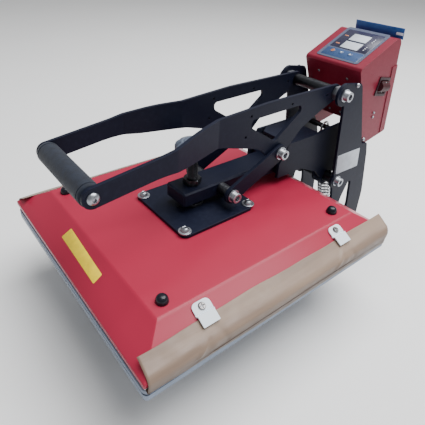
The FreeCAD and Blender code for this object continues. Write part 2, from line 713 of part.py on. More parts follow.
def make_platen():
    """Cast aluminium platen with its tubular heater, insulation, studs and thermal cut-out."""
    half = COVER_WIDTH / 2 - PLATEN_INSET
    plate = box(
        -half, half, COVER_FRONT + PLATEN_INSET, COVER_REAR - PLATEN_INSET, PLATEN_BOTTOM, PLATEN_TOP,
    )
    rim = [edge for edge in plate.Edges if abs(edge.CenterOfMass.z - PLATEN_TOP) < 0.01]
    write("heat_platen", plate.makeChamfer(PLATEN_CHAMFER, rim))
    write("heating_element", heater_tube())

    low = PLATEN_TOP + HEATER_TUBE + GAP
    high = low + INSULATION_THICKNESS
    cutout_y = COVER_MIDDLE_Y - STUD_ACROSS * 3
    mat = box(
        -HEATER_SPREAD, HEATER_SPREAD, COVER_MIDDLE_Y - HEATER_REACH, COVER_MIDDLE_Y + HEATER_REACH,
        low, high,
    )
    windows = []
    reach = STUD_ACROSS / 2 + 2
    for x, y in stud_places():
        windows.append(box(x - reach, x + reach, y - reach, y + reach, low - 1, high + 1))
    reach = CUTOUT_WIDTH / 2 + 2
    windows.append(box(-reach, reach, cutout_y - reach, cutout_y + reach, low - 1, high + 1))
    write("insulation_mat", mat.cut(windows))

    studs = [plate_z(polygon(place, STUD_ACROSS, 6), PLATEN_TOP, -SHEET_STEEL) for place in stud_places()]
    write("platen_studs", studs)

    case_top = PLATEN_TOP + CUTOUT_HEIGHT
    case = plate_z(polygon((0, cutout_y), CUTOUT_WIDTH, 8), PLATEN_TOP, case_top)
    tab_top = case_top + CUTOUT_TAB
    tabs = [box(x - 3, x + 3, cutout_y - 1, cutout_y + 1, case_top, tab_top) for x in (-6, 6)]
    write("thermal_cutout", fuse([case] + tabs))


def heater_tube():
    """Serpentine of straight legs along Y joined by half circles, lying on the platen."""
    pitch = 2 * HEATER_SPREAD / HEATER_LEGS
    radius = pitch / 2
    z = PLATEN_TOP + HEATER_TUBE / 2
    low_y = COVER_MIDDLE_Y - HEATER_REACH + radius
    high_y = COVER_MIDDLE_Y + HEATER_REACH - radius
    edges = []
    for leg in range(HEATER_LEGS):
        x = -HEATER_SPREAD + pitch * (leg + 0.5)
        start_y, end_y = (high_y, low_y) if leg % 2 == 0 else (low_y, high_y)
        edges.append(Part.makeLine(FreeCAD.Vector(x, start_y, z), FreeCAD.Vector(x, end_y, z)))
        if leg < HEATER_LEGS - 1:
            bulge = math.copysign(radius, end_y - start_y)
            turn = Part.Arc(
                FreeCAD.Vector(x, end_y, z), FreeCAD.Vector(x + radius, end_y + bulge, z),
                FreeCAD.Vector(x + pitch, end_y, z),
            )
            edges.append(turn.toShape())
    x = -HEATER_SPREAD + radius
    ring = [FreeCAD.Vector(a, high_y, b) for a, b, _ in polygon((x, z), HEATER_TUBE, HEATER_SIDES)]
    return Part.Wire(edges).makePipeShell([Part.makePolygon(ring + ring[:1])], True, False)


def make_caps():
    """Four domed caps on the cover studs."""
    profile = [
        (CAP_WIDTH, 0), (CAP_WIDTH, CAP_HEIGHT * 0.45), (CAP_WIDTH * 0.82, CAP_HEIGHT * 0.8),
        (CAP_WIDTH * 0.42, CAP_HEIGHT),
    ]
    places = [(x, y) for x in (-CAP_X, CAP_X) for y in (CAP_FRONT_Y, CAP_REAR_Y)]
    write("corner_caps", [turned_z(profile, FASTENER_SIDES, x, y, 0) for x, y in places])


def make_wrap():
    """The release sheet: up one side, under the platen and up the other, as one bent band."""
    top_x, top_z = bevel_point(WRAP_UPPER_EDGE, GAP)
    bend_z = bevel_point(math.hypot(BEVEL_RUN, BEVEL_DROP), GAP)[1]
    inner_x = COVER_WIDTH / 2 + GAP
    outer_x = inner_x + WRAP_THICKNESS
    half = [
        (inner_x, PLATEN_BOTTOM, 0), (inner_x, bend_z, 0), (top_x, top_z, 0),
        (top_x + WRAP_THICKNESS / 2, top_z + WRAP_THICKNESS, 0),
        (outer_x, bend_z + 1.5 * WRAP_THICKNESS, WRAP_ROUNDING),
        (outer_x, PLATEN_BOTTOM - WRAP_THICKNESS, WRAP_THICKNESS),
    ]
    outline = half + [(-x, z, rounding) for x, z, rounding in reversed(half)]
    write("release_sheet", plate_y(outline, COVER_FRONT + WRAP_FRONT_STEP, COVER_REAR - WRAP_REAR_STEP))


def make_clips():
    """Folded clips that hold the sheet on the bevels, with their screws."""
    over = WRAP_THICKNESS + 3 * GAP
    tab_end = CLIP_TOP_EDGE + CLIP_TAB
    path = [(CLIP_TOP_EDGE, 0), (tab_end - 2, 0), (tab_end, over), (tab_end + CLIP_LIP, over)]
    under = [bevel_point(distance, lift) for distance, lift in path]
    top = [bevel_point(distance, lift + CLIP_THICKNESS) for distance, lift in reversed(path)]
    section = [(x, z, 0) for x, z in under + top]
    clips = []
    screws = []
    for y in (COVER_FRONT + CLIP_INSET, COVER_REAR - CLIP_INSET):
        clips += both_sides(plate_y(section, y - CLIP_WIDTH / 2, y + CLIP_WIDTH / 2))
        screw = facet_z(0, 0, CLIP_SCREW_HEAD, 0, CLIP_SCREW_HEIGHT)
        screw.rotate(FreeCAD.Vector(0, 0, 0), FreeCAD.Vector(0, 1, 0), math.degrees(BEVEL_SLOPE))
        seat_x, seat_z = bevel_point(CLIP_TOP_EDGE + CLIP_TAB / 2 - 1, CLIP_THICKNESS)
        screw.translate(FreeCAD.Vector(seat_x, y, seat_z))
        screws += both_sides(screw)
    write("sheet_clips", clips)
    write("clip_screws", screws)


def make_mount():
    """Mount plate with its bolts, the screw's thrust seat and two guide pins."""
    half = MOUNT_WIDTH / 2
    rear = MOUNT_FRONT_Y + MOUNT_DEPTH
    side = [
        (half, MOUNT_FRONT_Y, MOUNT_CORNER), (half, rear - MOUNT_REAR_CUT, 0),
        (half - MOUNT_REAR_CUT, rear, 0),
    ]
    outline = side + [(-x, y, rounding) for x, y, rounding in reversed(side)]
    write("mount_plate", plate_z(outline, 0, STEEL_PLATE))

    bolts = []
    washer_top = STEEL_PLATE + MOUNT_WASHER_THICKNESS
    for x in (-MOUNT_BOLT_X, MOUNT_BOLT_X):
        for y in (MOUNT_BOLT_FRONT_Y, MOUNT_BOLT_REAR_Y):
            bolts.append(fuse([
                facet_z(x, y, MOUNT_WASHER, STEEL_PLATE, washer_top),
                facet_z(x, y, MOUNT_BOLT_HEAD, washer_top, washer_top + MOUNT_BOLT_HEAD_HEIGHT),
            ]))
    write("mount_bolts", bolts)

    seat = polygon((0, SCREW_Y), SEAT_WIDTH, 8)
    write("screw_seat", plate_z(seat, STEEL_PLATE, STEEL_PLATE + SEAT_HEIGHT))
    pin_top = BEAM_TOP - STEEL_PLATE - GAP - PRESSURE_TRAVEL
    pin_places = (GUIDE_PIN_FRONT_Y, GUIDE_PIN_REAR_Y)
    write("guide_pins", [facet_z(0, y, GUIDE_PIN_WIDTH, STEEL_PLATE, pin_top) for y in pin_places])


def make_pressure_screw():
    """Adjusting screw with its collar, and the lobed hand knob."""
    bottom = STEEL_PLATE + SEAT_HEIGHT
    collar_z = BEAM_TOP + GAP
    collar = polygon((0, SCREW_Y), SCREW_COLLAR_ACROSS, 6)
    write("pressure_screw", fuse([
        rod_z(0, SCREW_Y, SCREW_WIDTH, bottom, SCREW_TOP),
        plate_z(collar, collar_z, collar_z + SCREW_COLLAR_HEIGHT),
    ]))

    radius = KNOB_WIDTH / 2
    step = math.pi / KNOB_LOBES
    shoulder = SCREW_TOP + KNOB_HEIGHT * KNOB_SHOULDER

    def lobed_ring(scale, z):
        points = []
        for lobe in range(KNOB_LOBES):
            middle = 2 * step * lobe
            for reach, angle in (
                (radius, middle - step * 0.58), (radius, middle + step * 0.58),
                (radius - KNOB_FLUTE, middle + step * 0.86), (radius - KNOB_FLUTE, middle + step * 1.14),
            ):
                points.append(FreeCAD.Vector(
                    scale * reach * math.cos(angle), SCREW_Y + scale * reach * math.sin(angle), z,
                ))
        return points

    low = SCREW_TOP + KNOB_HUB_HEIGHT
    body = prismatoid(lobed_ring(1.0, low), lobed_ring(1.0, shoulder))
    crown = prismatoid(lobed_ring(1.0, shoulder), lobed_ring(KNOB_CROWN, SCREW_TOP + KNOB_HEIGHT))
    hub = plate_z(polygon((0, SCREW_Y), KNOB_HUB, 8), SCREW_TOP, low)
    write("pressure_knob", fuse([hub, body, crown]))


# Handle

def bent_band():
    """Plan of a side plate: straight at the back, splayed out, straight again at the grip."""
    splay = ARM_FRONT_OUTER_X - ARM_OUTER_X
    run = ARM_BEND_REAR_Y - ARM_BEND_FRONT_Y
    shift = STEEL_PLATE * math.tan(math.atan2(splay, run) / 2)
    front = GRIP[0] - 2 * GRIP_EYE
    rear = HANDLE_PIVOT[0] + 2 * ARM_TAIL_EYE
    small = ARM_BEND_RADIUS
    large = ARM_BEND_RADIUS + STEEL_PLATE
    return [
        (ARM_OUTER_X, rear, 0), (ARM_OUTER_X, ARM_BEND_REAR_Y, small),
        (ARM_FRONT_OUTER_X, ARM_BEND_FRONT_Y, large), (ARM_FRONT_OUTER_X, front, 0),
        (ARM_FRONT_OUTER_X - STEEL_PLATE, front, 0),
        (ARM_FRONT_OUTER_X - STEEL_PLATE, ARM_BEND_FRONT_Y - shift, small),
        (ARM_INNER_X, ARM_BEND_REAR_Y - shift, large), (ARM_INNER_X, rear, 0),
    ]


def make_handle():
    """The two bent arms with their windows, the grip on its core bar and the pivot spacer bar."""
    x0, x1 = ARM_INNER_X - 1, ARM_FRONT_OUTER_X + 1
    outline = [(GRIP[0], GRIP[1] + GRIP_EYE, 0)] + ARM_TOP_EDGE
    outline += [
        (HANDLE_PIVOT[0], HANDLE_PIVOT[1] + ARM_TAIL_EYE, 0),
        (HANDLE_PIVOT[0], HANDLE_PIVOT[1] - ARM_TAIL_EYE, 0),
    ]
    outline += ARM_LOWER_EDGE + [(LINK_TOP[0], LINK_TOP[1] - ARM_LOBE_EYE + 1, 0)] + ARM_NECK_EDGE
    outline += [(GRIP[0], GRIP[1] - GRIP_EYE, 0)]
    side = fuse([
        plate_x(outline, x0, x1), rod_x(GRIP, 2 * GRIP_EYE, x0, x1),
        rod_x(HANDLE_PIVOT, 2 * ARM_TAIL_EYE, x0, x1), rod_x(LINK_TOP, 2 * ARM_LOBE_EYE, x0, x1),
    ])
    holes = [
        plate_x(ARM_WINDOW, x0 - 1, x1 + 1), running_bore(HANDLE_PIVOT, BOLT_SHANK, x0, x1),
        running_bore(LINK_TOP, BOLT_SHANK, x0, x1),
    ]
    for place in ARM_HOLES:
        holes.append(plate_x(polygon(place, ARM_SMALL_HOLE, 6), x0 - 1, x1 + 1))
    plan = plate_z(bent_band(), LINK_TOP[1] - 2 * ARM_LOBE_EYE, HANDLE_PIVOT[1] + 2 * ARM_LOBE_EYE)
    arm = side.cut(holes).common(plan)
    write("handle_arm_right", arm)
    write("handle_arm_left", mirrored(arm))

    inner = ARM_FRONT_OUTER_X - STEEL_PLATE
    core = facet_x(GRIP, GRIP_CORE, -inner, inner)
    reach = inner - GAP
    narrow = GRIP_WIDTH - 2 * GRIP_CHAMFER
    profile = [
        (narrow, -reach), (GRIP_WIDTH, GRIP_CHAMFER - reach), (GRIP_WIDTH, reach - GRIP_CHAMFER),
        (narrow, reach),
    ]
    foam = turned_z(profile, 2 * FASTENER_SIDES, 0, 0, 0)
    foam.rotate(FreeCAD.Vector(0, 0, 0), FreeCAD.Vector(0, 1, 0), 90)
    foam.translate(FreeCAD.Vector(0, GRIP[0], GRIP[1]))
    write("handle_grip", foam.cut(core))
    write("grip_core_bar", core)
    head = facet_x(GRIP, GRIP_SCREW_HEAD, ARM_FRONT_OUTER_X, ARM_FRONT_OUTER_X + GRIP_SCREW_HEIGHT)
    write("grip_end_screws", both_sides(head))
    write("handle_spacer_bar", rod_x(HANDLE_PIVOT, SPACER_BAR, -ARM_INNER_X, ARM_INNER_X))


# Links

def make_links():
    """Two link plates outside the arms, and the bolts and nuts at their upper ends.

    The upper pivot is where the closed linkage is opened, so the bolt's shank stops short of the
    stud that goes on through the arm to the nut.
    """
    x0, x1 = LINK_INNER_X, LINK_OUTER_X
    dy = LINK_TOP[0] - LINK_FOOT[0]
    dz = LINK_TOP[1] - LINK_FOOT[1]
    share = LINK_EYE / math.hypot(dy, dz)
    side_y, side_z = -dz * share, dy * share
    outline = [
        (LINK_FOOT[0] + side_y, LINK_FOOT[1] + side_z, 0), (LINK_TOP[0] + side_y, LINK_TOP[1] + side_z, 0),
        (LINK_TOP[0] - side_y, LINK_TOP[1] - side_z, 0), (LINK_FOOT[0] - side_y, LINK_FOOT[1] - side_z, 0),
    ]
    plate = fuse([
        plate_x(outline, x0, x1), rod_x(LINK_FOOT, 2 * LINK_EYE, x0, x1),
        rod_x(LINK_TOP, 2 * LINK_EYE, x0, x1),
    ])
    bores = [running_bore(place, BOLT_SHANK, x0, x1) for place in (LINK_FOOT, LINK_TOP)]
    write("links", both_sides(plate.cut(bores)))
    write("link_top_bolts", both_sides(pivot_bolt(LINK_TOP, x1, ARM_OUTER_X + GAP)))
    nut_x = ARM_INNER_X - GAP
    stud = fuse([
        plate_x(polygon(LINK_TOP, NUT_ACROSS, 6), nut_x - NUT_HEIGHT, nut_x),
        facet_x(LINK_TOP, BOLT_SHANK, nut_x - 1, ARM_OUTER_X),
    ])
    write("link_top_nuts", both_sides(stud))


# Lift spring

def biarc(start, start_dir, end, end_dir):
    """Two tangent arcs from start to end, leaving and arriving along the given directions."""
    chord = end - start
    a = 2 * (start_dir.dot(end_dir) - 1)
    b = -2 * chord.dot(start_dir + end_dir)
    c = chord.dot(chord)
    if abs(a) < 1e-9:
        reach = -c / b
    else:
        reach = (-b - math.sqrt(b * b - 4 * a * c)) / (2 * a)
    middle = (start + start_dir * reach + end - end_dir * reach) * 0.5
    arcs = []
    for first, knee, last in (
        (start, start + start_dir * reach, middle), (middle, end - end_dir * reach, end),
    ):
        base = (first + last) * 0.5
        half_chord = (last - first).Length / 2
        bend = math.atan2((knee - base).Length, half_chord)
        crown = base + (knee - base).normalize() * (half_chord * math.tan(bend / 2))
        arcs.append(Part.Arc(first, crown, last).toShape())
    return arcs


def hook_knots(centre_z, angles):
    """Points and directions round a hook of the spring, clockwise in the plane x = 0."""
    knots = []
    for degrees in angles:
        angle = math.radians(degrees)
        point = FreeCAD.Vector(0, SPRING_HOOK * math.cos(angle), centre_z + SPRING_HOOK * math.sin(angle))
        knots.append((point, FreeCAD.Vector(0, math.sin(angle), -math.cos(angle))))
    return knots


def make_spring():
    """Extension spring in one unbroken wire: a hook, the coils and a second hook."""
    dy = LIFT_ROD[0] - SPRING_ANCHOR[0]
    dz = LIFT_ROD[1] - SPRING_ANCHOR[1]
    length = math.hypot(dy, dz)
    radius = (SPRING_WIDTH - SPRING_WIRE) / 2
    bore = SPRING_HOOK - SPRING_WIRE / 2 - 2 * GAP
    low_hook = bore - SPRING_ANCHOR_WIDTH / 2
    high_hook = length - bore + LIFT_ROD_WIDTH / 2
    first = low_hook + SPRING_NECK
    coiled = high_hook - SPRING_NECK - first
    turns = int(coiled / SPRING_PITCH)
    rise = coiled / turns / (2 * math.pi * radius)

    knots = hook_knots(low_hook, (60, 0, -90, -180))
    for half in range(2 * turns + 1):
        way = -1 if half % 2 == 0 else 1
        point = FreeCAD.Vector(0, way * radius, first + coiled * half / (2 * turns))
        knots.append((point, FreeCAD.Vector(-way, 0, rise).normalize()))
    knots += hook_knots(high_hook, (180, 90, 0, -60))
    edges = []
    for (start, start_dir), (end, end_dir) in zip(knots, knots[1:]):
        edges += biarc(start, start_dir, end, end_dir)
    print("spring least gap to itself %.2f mm" % least_gap(edges))

    start, tangent = knots[0]
    across = FreeCAD.Vector(1, 0, 0)
    up = tangent.cross(across)
    ring = [start + across * a + up * b for a, b, _ in polygon((0, 0), SPRING_WIRE, SPRING_SIDES)]
    spring = Part.Wire(edges).makePipeShell([Part.makePolygon(ring + ring[:1])], True, False)
    lean = math.degrees(math.atan2(-dy, dz))
    spring.rotate(FreeCAD.Vector(0, 0, 0), FreeCAD.Vector(1, 0, 0), lean)
    spring.translate(FreeCAD.Vector(0, SPRING_ANCHOR[0], SPRING_ANCHOR[1]))
    write("lift_spring", spring)


def least_gap(edges):
    """The smallest gap between stretches of the wire that are more than a half turn apart."""
    points = []
    walked = 0.0
    for edge in edges:
        count = max(2, int(edge.Length / 1.5))
        for step in range(count):
            share = step / count
            at = edge.FirstParameter + share * (edge.LastParameter - edge.FirstParameter)
            points.append((walked + share * edge.Length, edge.valueAt(at)))
        walked += edge.Length
    least = math.inf
    apart = math.pi * (SPRING_WIDTH - SPRING_WIRE) / 2
    for index, (along, point) in enumerate(points):
        for further, other in points[index + 1:]:
            if further - along < apart:
                continue
            if further - along > 4 * apart:
                break
            least = min(least, point.distanceToPoint(other))
    return least - SPRING_WIRE


# Control box

def on_panel(shape):
    """A piece drawn flat, moved onto the sloping top: x across, y up the slope, z out of it."""
    front_y, front_z = BOX_PANEL_FRONT
    tilt = math.degrees(math.atan2(BOX_PANEL_REAR[1] - front_z, BOX_PANEL_REAR[0] - front_y))
    shape.rotate(FreeCAD.Vector(0, 0, 0), FreeCAD.Vector(1, 0, 0), tilt)
    shape.translate(FreeCAD.Vector(0, front_y, front_z))
    return shape


def on_side(shape):
    """A piece drawn flat, moved onto the box's right side: x along, y up, z outward."""
    shape.rotate(FreeCAD.Vector(0, 0, 0), FreeCAD.Vector(1, 0, 0), 90)
    shape.rotate(FreeCAD.Vector(0, 0, 0), FreeCAD.Vector(0, 0, 1), 90)
    shape.rotate(FreeCAD.Vector(0, 0, 0), FreeCAD.Vector(1, 0, 0), -BOX_LEAN)
    shape.translate(FreeCAD.Vector(BOX_HALF, SWITCH[0], SWITCH[1]))
    return shape


def along_rear(share):
    """A point on the rear wall's outside, at a share of its length from the top, and its direction."""
    dy = BOX_REAR_FOOT[0] - BOX_REAR_KNEE[0]
    dz = BOX_REAR_FOOT[1] - BOX_REAR_KNEE[1]
    return FreeCAD.Vector(0, BOX_REAR_KNEE[0] + dy * share, BOX_REAR_KNEE[1] + dz * share), (dy, dz)


def on_rear(shape):
    """A piece drawn flat, moved onto the rear wall at the inlet: y down it, z outward."""
    place, (dy, dz) = along_rear(INLET_PLACE)
    shape.rotate(FreeCAD.Vector(0, 0, 0), FreeCAD.Vector(1, 0, 0), math.degrees(math.atan2(dz, dy)))
    shape.translate(place)
    return shape


def make_box():
    """Folded sheet housing with its two ears, its rear cover and the power inlet."""
    profile = [
        BOX_FRONT_FOOT, BOX_FRONT_KNEE, BOX_PANEL_FRONT, BOX_PANEL_REAR, BOX_REAR_KNEE, BOX_REAR_FOOT,
    ]
    rounding = [0, 0, BOX_FRONT_ROUNDING, BOX_REAR_ROUNDING, 0, 0]
    outer = plate_x([(*point, radius) for point, radius in zip(profile, rounding)], -BOX_HALF, BOX_HALF)
    inside = BOX_HALF - BOX_WALL
    cavity = plate_x([(*point, 0) for point in inset(profile, BOX_WALL)], -inside, inside)
    lower_edge = [BOX_FRONT_FOOT] + BOX_EAR + [BOX_REAR_FOOT]
    ear = plate_x([(*point, 0) for point in lower_edge], inside, BOX_HALF)
    shell = fuse([outer] + both_sides(ear)).cut([cavity] + box_openings())
    window = on_rear(box(
        -BOX_HALF + 9, BOX_HALF - 9, -INLET_HEIGHT * 3, INLET_HEIGHT * 2, -BOX_WALL - 1, 1,
    ))
    write("box_housing", shell.cut(window))

    bottom, (dy, dz) = along_rear(1.0)
    length = math.hypot(dy, dz)
    top = BOX_REAR_COVER_TOP - INLET_PLACE * length
    end = length - BOX_REAR_COVER_END - INLET_PLACE * length
    low_z = RUNNING
    high_z = RUNNING + SHEET_STEEL
    half = BOX_HALF + high_z
    blank = box(-half, half, top, end, -BOX_REAR_COVER_DEPTH, high_z)
    half = BOX_HALF + low_z
    hollow = box(-half, half, top - 1, end + 1, -BOX_REAR_COVER_DEPTH - 1, low_z)
    hole = inlet_shape(2 * GAP, 2 * GAP, -1, high_z + 1)
    write("box_rear_cover", on_rear(blank.cut([hollow, hole])))

    flange = inlet_shape(2 * INLET_FLANGE, 2 * INLET_FLANGE, high_z, high_z + INLET_FLANGE_THICKNESS)
    body = inlet_shape(0, 0, -INLET_DEPTH, high_z)
    mouth = high_z + INLET_FLANGE_THICKNESS + 1
    socket = inlet_shape(-2 * INLET_WALL, -2 * INLET_WALL, -INLET_SOCKET, mouth)
    write("power_inlet", on_rear(fuse([flange, body]).cut(socket)))


def inlet_shape(wider, higher, z0, z1):
    """A block of the inlet's outline drawn flat, with its corners cut."""
    half = (INLET_WIDTH + wider) / 2
    rise = (INLET_HEIGHT + higher) / 2
    corner = INLET_WALL
    side = [
        (half - corner, -rise, 0), (half, corner - rise, 0), (half, rise - corner, 0),
        (half - corner, rise, 0),
    ]
    return plate_z(side + [(-x, y, rounding) for x, y, rounding in reversed(side)], z0, z1)


def box_openings():
    """Holes in the housing for the displays, the keys and the switch."""
    tools = []
    half = DISPLAY_WIDTH / 2
    for y in (DISPLAY_START, DISPLAY_START + DISPLAY_SPACING):
        tools.append(on_panel(box(-half, half, y, y + DISPLAY_DEPTH, -5, 5)))
    for index in range(3):
        tools.append(on_panel(key_shape(index, KEY_STEM + 2 * GAP, -5, 5)))
    half_l = SWITCH_LENGTH / 2 - BEZEL_RIM + RUNNING
    half_h = SWITCH_HEIGHT / 2 - BEZEL_RIM + RUNNING
    tools.append(on_side(box(-half_l, half_l, -half_h, half_h, -6, 6)))
    return tools


def key_shape(index, width, z0, z1):
    """One key's square with cut corners, drawn flat at its place."""
    x = KEY_FIRST_X + KEY_PITCH * index
    half = width / 2
    corner = KEY_CORNER * width / KEY_WIDTH
    side = [
        (half, corner - half, 0), (half, half - corner, 0), (half - corner, half, 0),
        (corner - half, half, 0),
    ]
    outline = side + [(-a, -b, rounding) for a, b, rounding in side]
    return plate_z([(x + a, KEY_LINE + b, rounding) for a, b, rounding in outline], z0, z1)


def make_panel():
    """Membrane overlay with its two display windows, three keys and the board behind them."""
    half = PANEL_WIDTH / 2
    sheet = plate_z(
        rectangle(-half, half, PANEL_START, PANEL_START + PANEL_DEPTH, PANEL_CORNER), 0, PANEL_THICKNESS,
    )
    windows = []
    cuts = []
    half = DISPLAY_WIDTH / 2
    for y in (DISPLAY_START, DISPLAY_START + DISPLAY_SPACING):
        cuts.append(box(-half, half, y, y + DISPLAY_DEPTH, -1, 2))
        windows.append(on_panel(box(-half, half, y, y + DISPLAY_DEPTH, -BOX_WALL, PANEL_THICKNESS)))
    floor = KEY_TRAVEL + GAP
    for index, name in enumerate(["key_set", "key_down", "key_up"]):
        cuts.append(key_shape(index, KEY_WIDTH + 2 * GAP, -1, 2))
        cap = key_shape(index, KEY_WIDTH, floor, PANEL_THICKNESS + KEY_RISE)
        stem = key_shape(index, KEY_STEM, -BOX_WALL - 2, floor)
        write(name, on_panel(fuse([cap, stem])))
    write("panel_overlay", on_panel(sheet.cut(cuts)))
    write("display_windows", windows)

    back = -BOX_WALL - BOARD_DROP
    board = box(
        -BOARD_WIDTH / 2, BOARD_WIDTH / 2, BOARD_START, BOARD_START + BOARD_DEPTH,
        back - BOARD_THICKNESS, back,
    )
    displays_end = DISPLAY_START + DISPLAY_SPACING + DISPLAY_DEPTH
    displays = box(-half, half, DISPLAY_START, displays_end, back, -BOX_WALL)
    write("control_board", on_panel(fuse([board, displays])))


def make_switch():
    """Rocker switch on the right side of the box."""
    half_l = SWITCH_LENGTH / 2
    half_h = SWITCH_HEIGHT / 2
    body_l = half_l - BEZEL_RIM
    body_h = half_h - BEZEL_RIM
    frame = box(-half_l, half_l, -half_h, half_h, 0, BEZEL_THICKNESS)
    body = box(-body_l, body_l, -body_h, body_h, -SWITCH_DEPTH, BEZEL_THICKNESS)
    well = box(1 - body_l, body_l - 1, 1 - body_h, body_h - 1, -SWITCH_WELL, BEZEL_THICKNESS + 1)
    write("rocker_housing", on_side(fuse([frame, body]).cut(well)))

    half_length = body_l - 1 - GAP
    rise = body_h - 1 - ROCKER_SIDE_GAP
    low = BEZEL_THICKNESS - 0.5
    high = low + 2 * rise * math.tan(math.radians(ROCKER_TILT))
    section = [
        (-rise, -ROCKER_ROOT / 2, 0), (-rise, low, 1), (0, (low + high) / 2 - 1, 12), (rise, high, 1),
        (rise, -ROCKER_ROOT / 2, 0), (0, -ROCKER_ROOT, 0),
    ]
    body = plate_x(section, -half_length, half_length)
    root = rod_x((0, ROCKER_AXIS), ROCKER_ROOT_WIDTH, -half_length, half_length)
    write("rocker", on_side(fuse([body, root])))


def make_box_screws():
    """Screw heads on the columns and on the box's ears and sides."""
    screws = []
    for place, width, seat_x in [
        (COLUMN_SCREW, BOX_SCREW_HEAD, COLUMN_OUTER_X), (EAR_SCREW, BOX_SCREW_HEAD, BOX_HALF),
    ] + [(place, PAIR_SCREW_HEAD, BOX_HALF) for place in SIDE_PAIR_SCREWS]:
        screws += both_sides(facet_x(place, width, seat_x, seat_x + BOX_SCREW_HEIGHT))
    write("box_screws", screws)


def main():
    """Build every node."""
    make_base()
    make_lower_platen()
    make_columns()
    make_press_arm()
    make_cover()
    make_platen()
    make_caps()
    make_wrap()
    make_clips()
    make_mount()
    make_pressure_screw()
    make_handle()
    make_links()
    make_spring()
    make_box()
    make_panel()
    make_switch()
    make_box_screws()


main()
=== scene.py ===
"""Looks of a clamshell flat heat press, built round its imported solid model.

Sizes are in millimetres on the drawing's datum: x across, y back from a line just behind the cover's
front edge, and z up from the cover's flat top. at() turns such a place into the model's own metres,
whose origin lies on the table under the middle of the machine.
"""

import json
import logging
import math
from collections.abc import Sequence
from dataclasses import dataclass, field
from enum import Enum
from functools import cache

import bmesh
import bpy
from mathutils import Matrix, Vector


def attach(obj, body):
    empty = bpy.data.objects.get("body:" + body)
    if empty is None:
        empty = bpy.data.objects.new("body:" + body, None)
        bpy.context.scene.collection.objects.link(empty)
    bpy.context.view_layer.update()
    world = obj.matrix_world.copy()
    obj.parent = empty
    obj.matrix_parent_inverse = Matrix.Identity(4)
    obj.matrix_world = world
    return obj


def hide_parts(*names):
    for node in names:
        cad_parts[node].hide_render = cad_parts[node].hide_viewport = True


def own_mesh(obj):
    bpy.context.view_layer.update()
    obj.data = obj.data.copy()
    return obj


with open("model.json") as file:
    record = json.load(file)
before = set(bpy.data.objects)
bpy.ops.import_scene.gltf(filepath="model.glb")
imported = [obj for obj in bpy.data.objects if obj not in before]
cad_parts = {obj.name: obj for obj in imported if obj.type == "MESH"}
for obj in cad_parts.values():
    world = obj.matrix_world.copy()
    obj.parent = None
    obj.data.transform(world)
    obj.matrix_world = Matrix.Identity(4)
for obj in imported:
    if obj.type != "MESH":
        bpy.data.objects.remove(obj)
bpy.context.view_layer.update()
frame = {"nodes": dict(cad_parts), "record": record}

LOG = logging.getLogger("heat_press")

# The datum's distance in front of the model's origin, and its height above the table.
MID_LENGTH = 302.95
DATUM_HEIGHT = 165.0
MM = 0.001
BOTH_SIDES = (-1, 1)

# A place lies on a flat face, or square to X. A spot lies in space.
Colour = tuple[float, float, float]
Place = tuple[float, float]
Spot = tuple[float, float, float]
Shape = bpy.types.Object
Socket = bpy.types.NodeSocket


def at(x: float, y: float, z: float) -> Vector:
    """A place on the drawing's datum, in the model's metres."""
    return Vector((x, y - MID_LENGTH, z + DATUM_HEIGHT)) * MM


def tone(red: int, green: int, blue: int) -> Colour:
    """A display colour from 0 to 255 a channel, as the linear colour that a shader takes.

    Args:
        red: The red channel.
        green: The green channel.
        blue: The blue channel.

    Returns:
        The linear colour.
    """
    return tuple(
        ((channel / 255 + 0.055) / 1.055) ** 2.4 if channel > 10 else channel / 255 / 12.92
        for channel in (red, green, blue)
    )


class Outline(Enum):
    """Forms that one ring of a turned piece can take."""

    ROUND = "round"
    HEXAGON = "hexagon"
    CROSS = "cross"
    LOBES = "lobes"


@dataclass(frozen=True)
class Ring:
    """One ring of a turned piece: its largest radius, its height along the axis and its outline."""

    radius: float
    height: float
    outline: Outline = Outline.ROUND

    def reach(self, angle: float) -> float:
        """Distance from the axis at an angle round it.

        Args:
            angle: Angle round the axis, in radians.

        Returns:
            The distance, in millimetres.
        """
        if self.outline is Outline.HEXAGON:
            side = math.pi / 3
            return self.radius * math.cos(side / 2) / math.cos(angle % side - side / 2)
        if self.outline is Outline.CROSS:
            return self.radius * (0.3 + 0.7 * abs(math.cos(2 * angle)) ** 5)
        if self.outline is Outline.LOBES:
            flute = max(0.0, math.cos(8 * angle + math.pi)) ** 1.6
            return self.radius * (1 - 0.15 * flute)
        return self.radius


@dataclass(frozen=True)
class Axis:
    """A straight axis: where it starts, and the direction in which heights are counted."""

    origin: Spot
    direction: Spot

    def basis(self) -> tuple[Vector, Vector, Vector]:
        """Two directions square to the axis, and the axis's own.

        Returns:
            Across, up and along, each of unit length.
        """
        along = Vector(self.direction).normalized()
        helper = Vector((0, 0, 1)) if abs(along.z) < 0.9 else Vector((0, 1, 0))
        across = helper.cross(along).normalized()
        return across, along.cross(across), along

    def point(self, radius: float, angle: float, height: float) -> Vector:
        """A point round the axis, in the model's metres.

        Args:
            radius: Distance from the axis, in millimetres.
            angle: Angle round it, in radians.
            height: Distance along it.

        Returns:
            The point.
        """
        across, up, along = self.basis()
        offset = across * radius * math.cos(angle) + up * radius * math.sin(angle) + along * height
        return at(*self.origin) + offset * MM


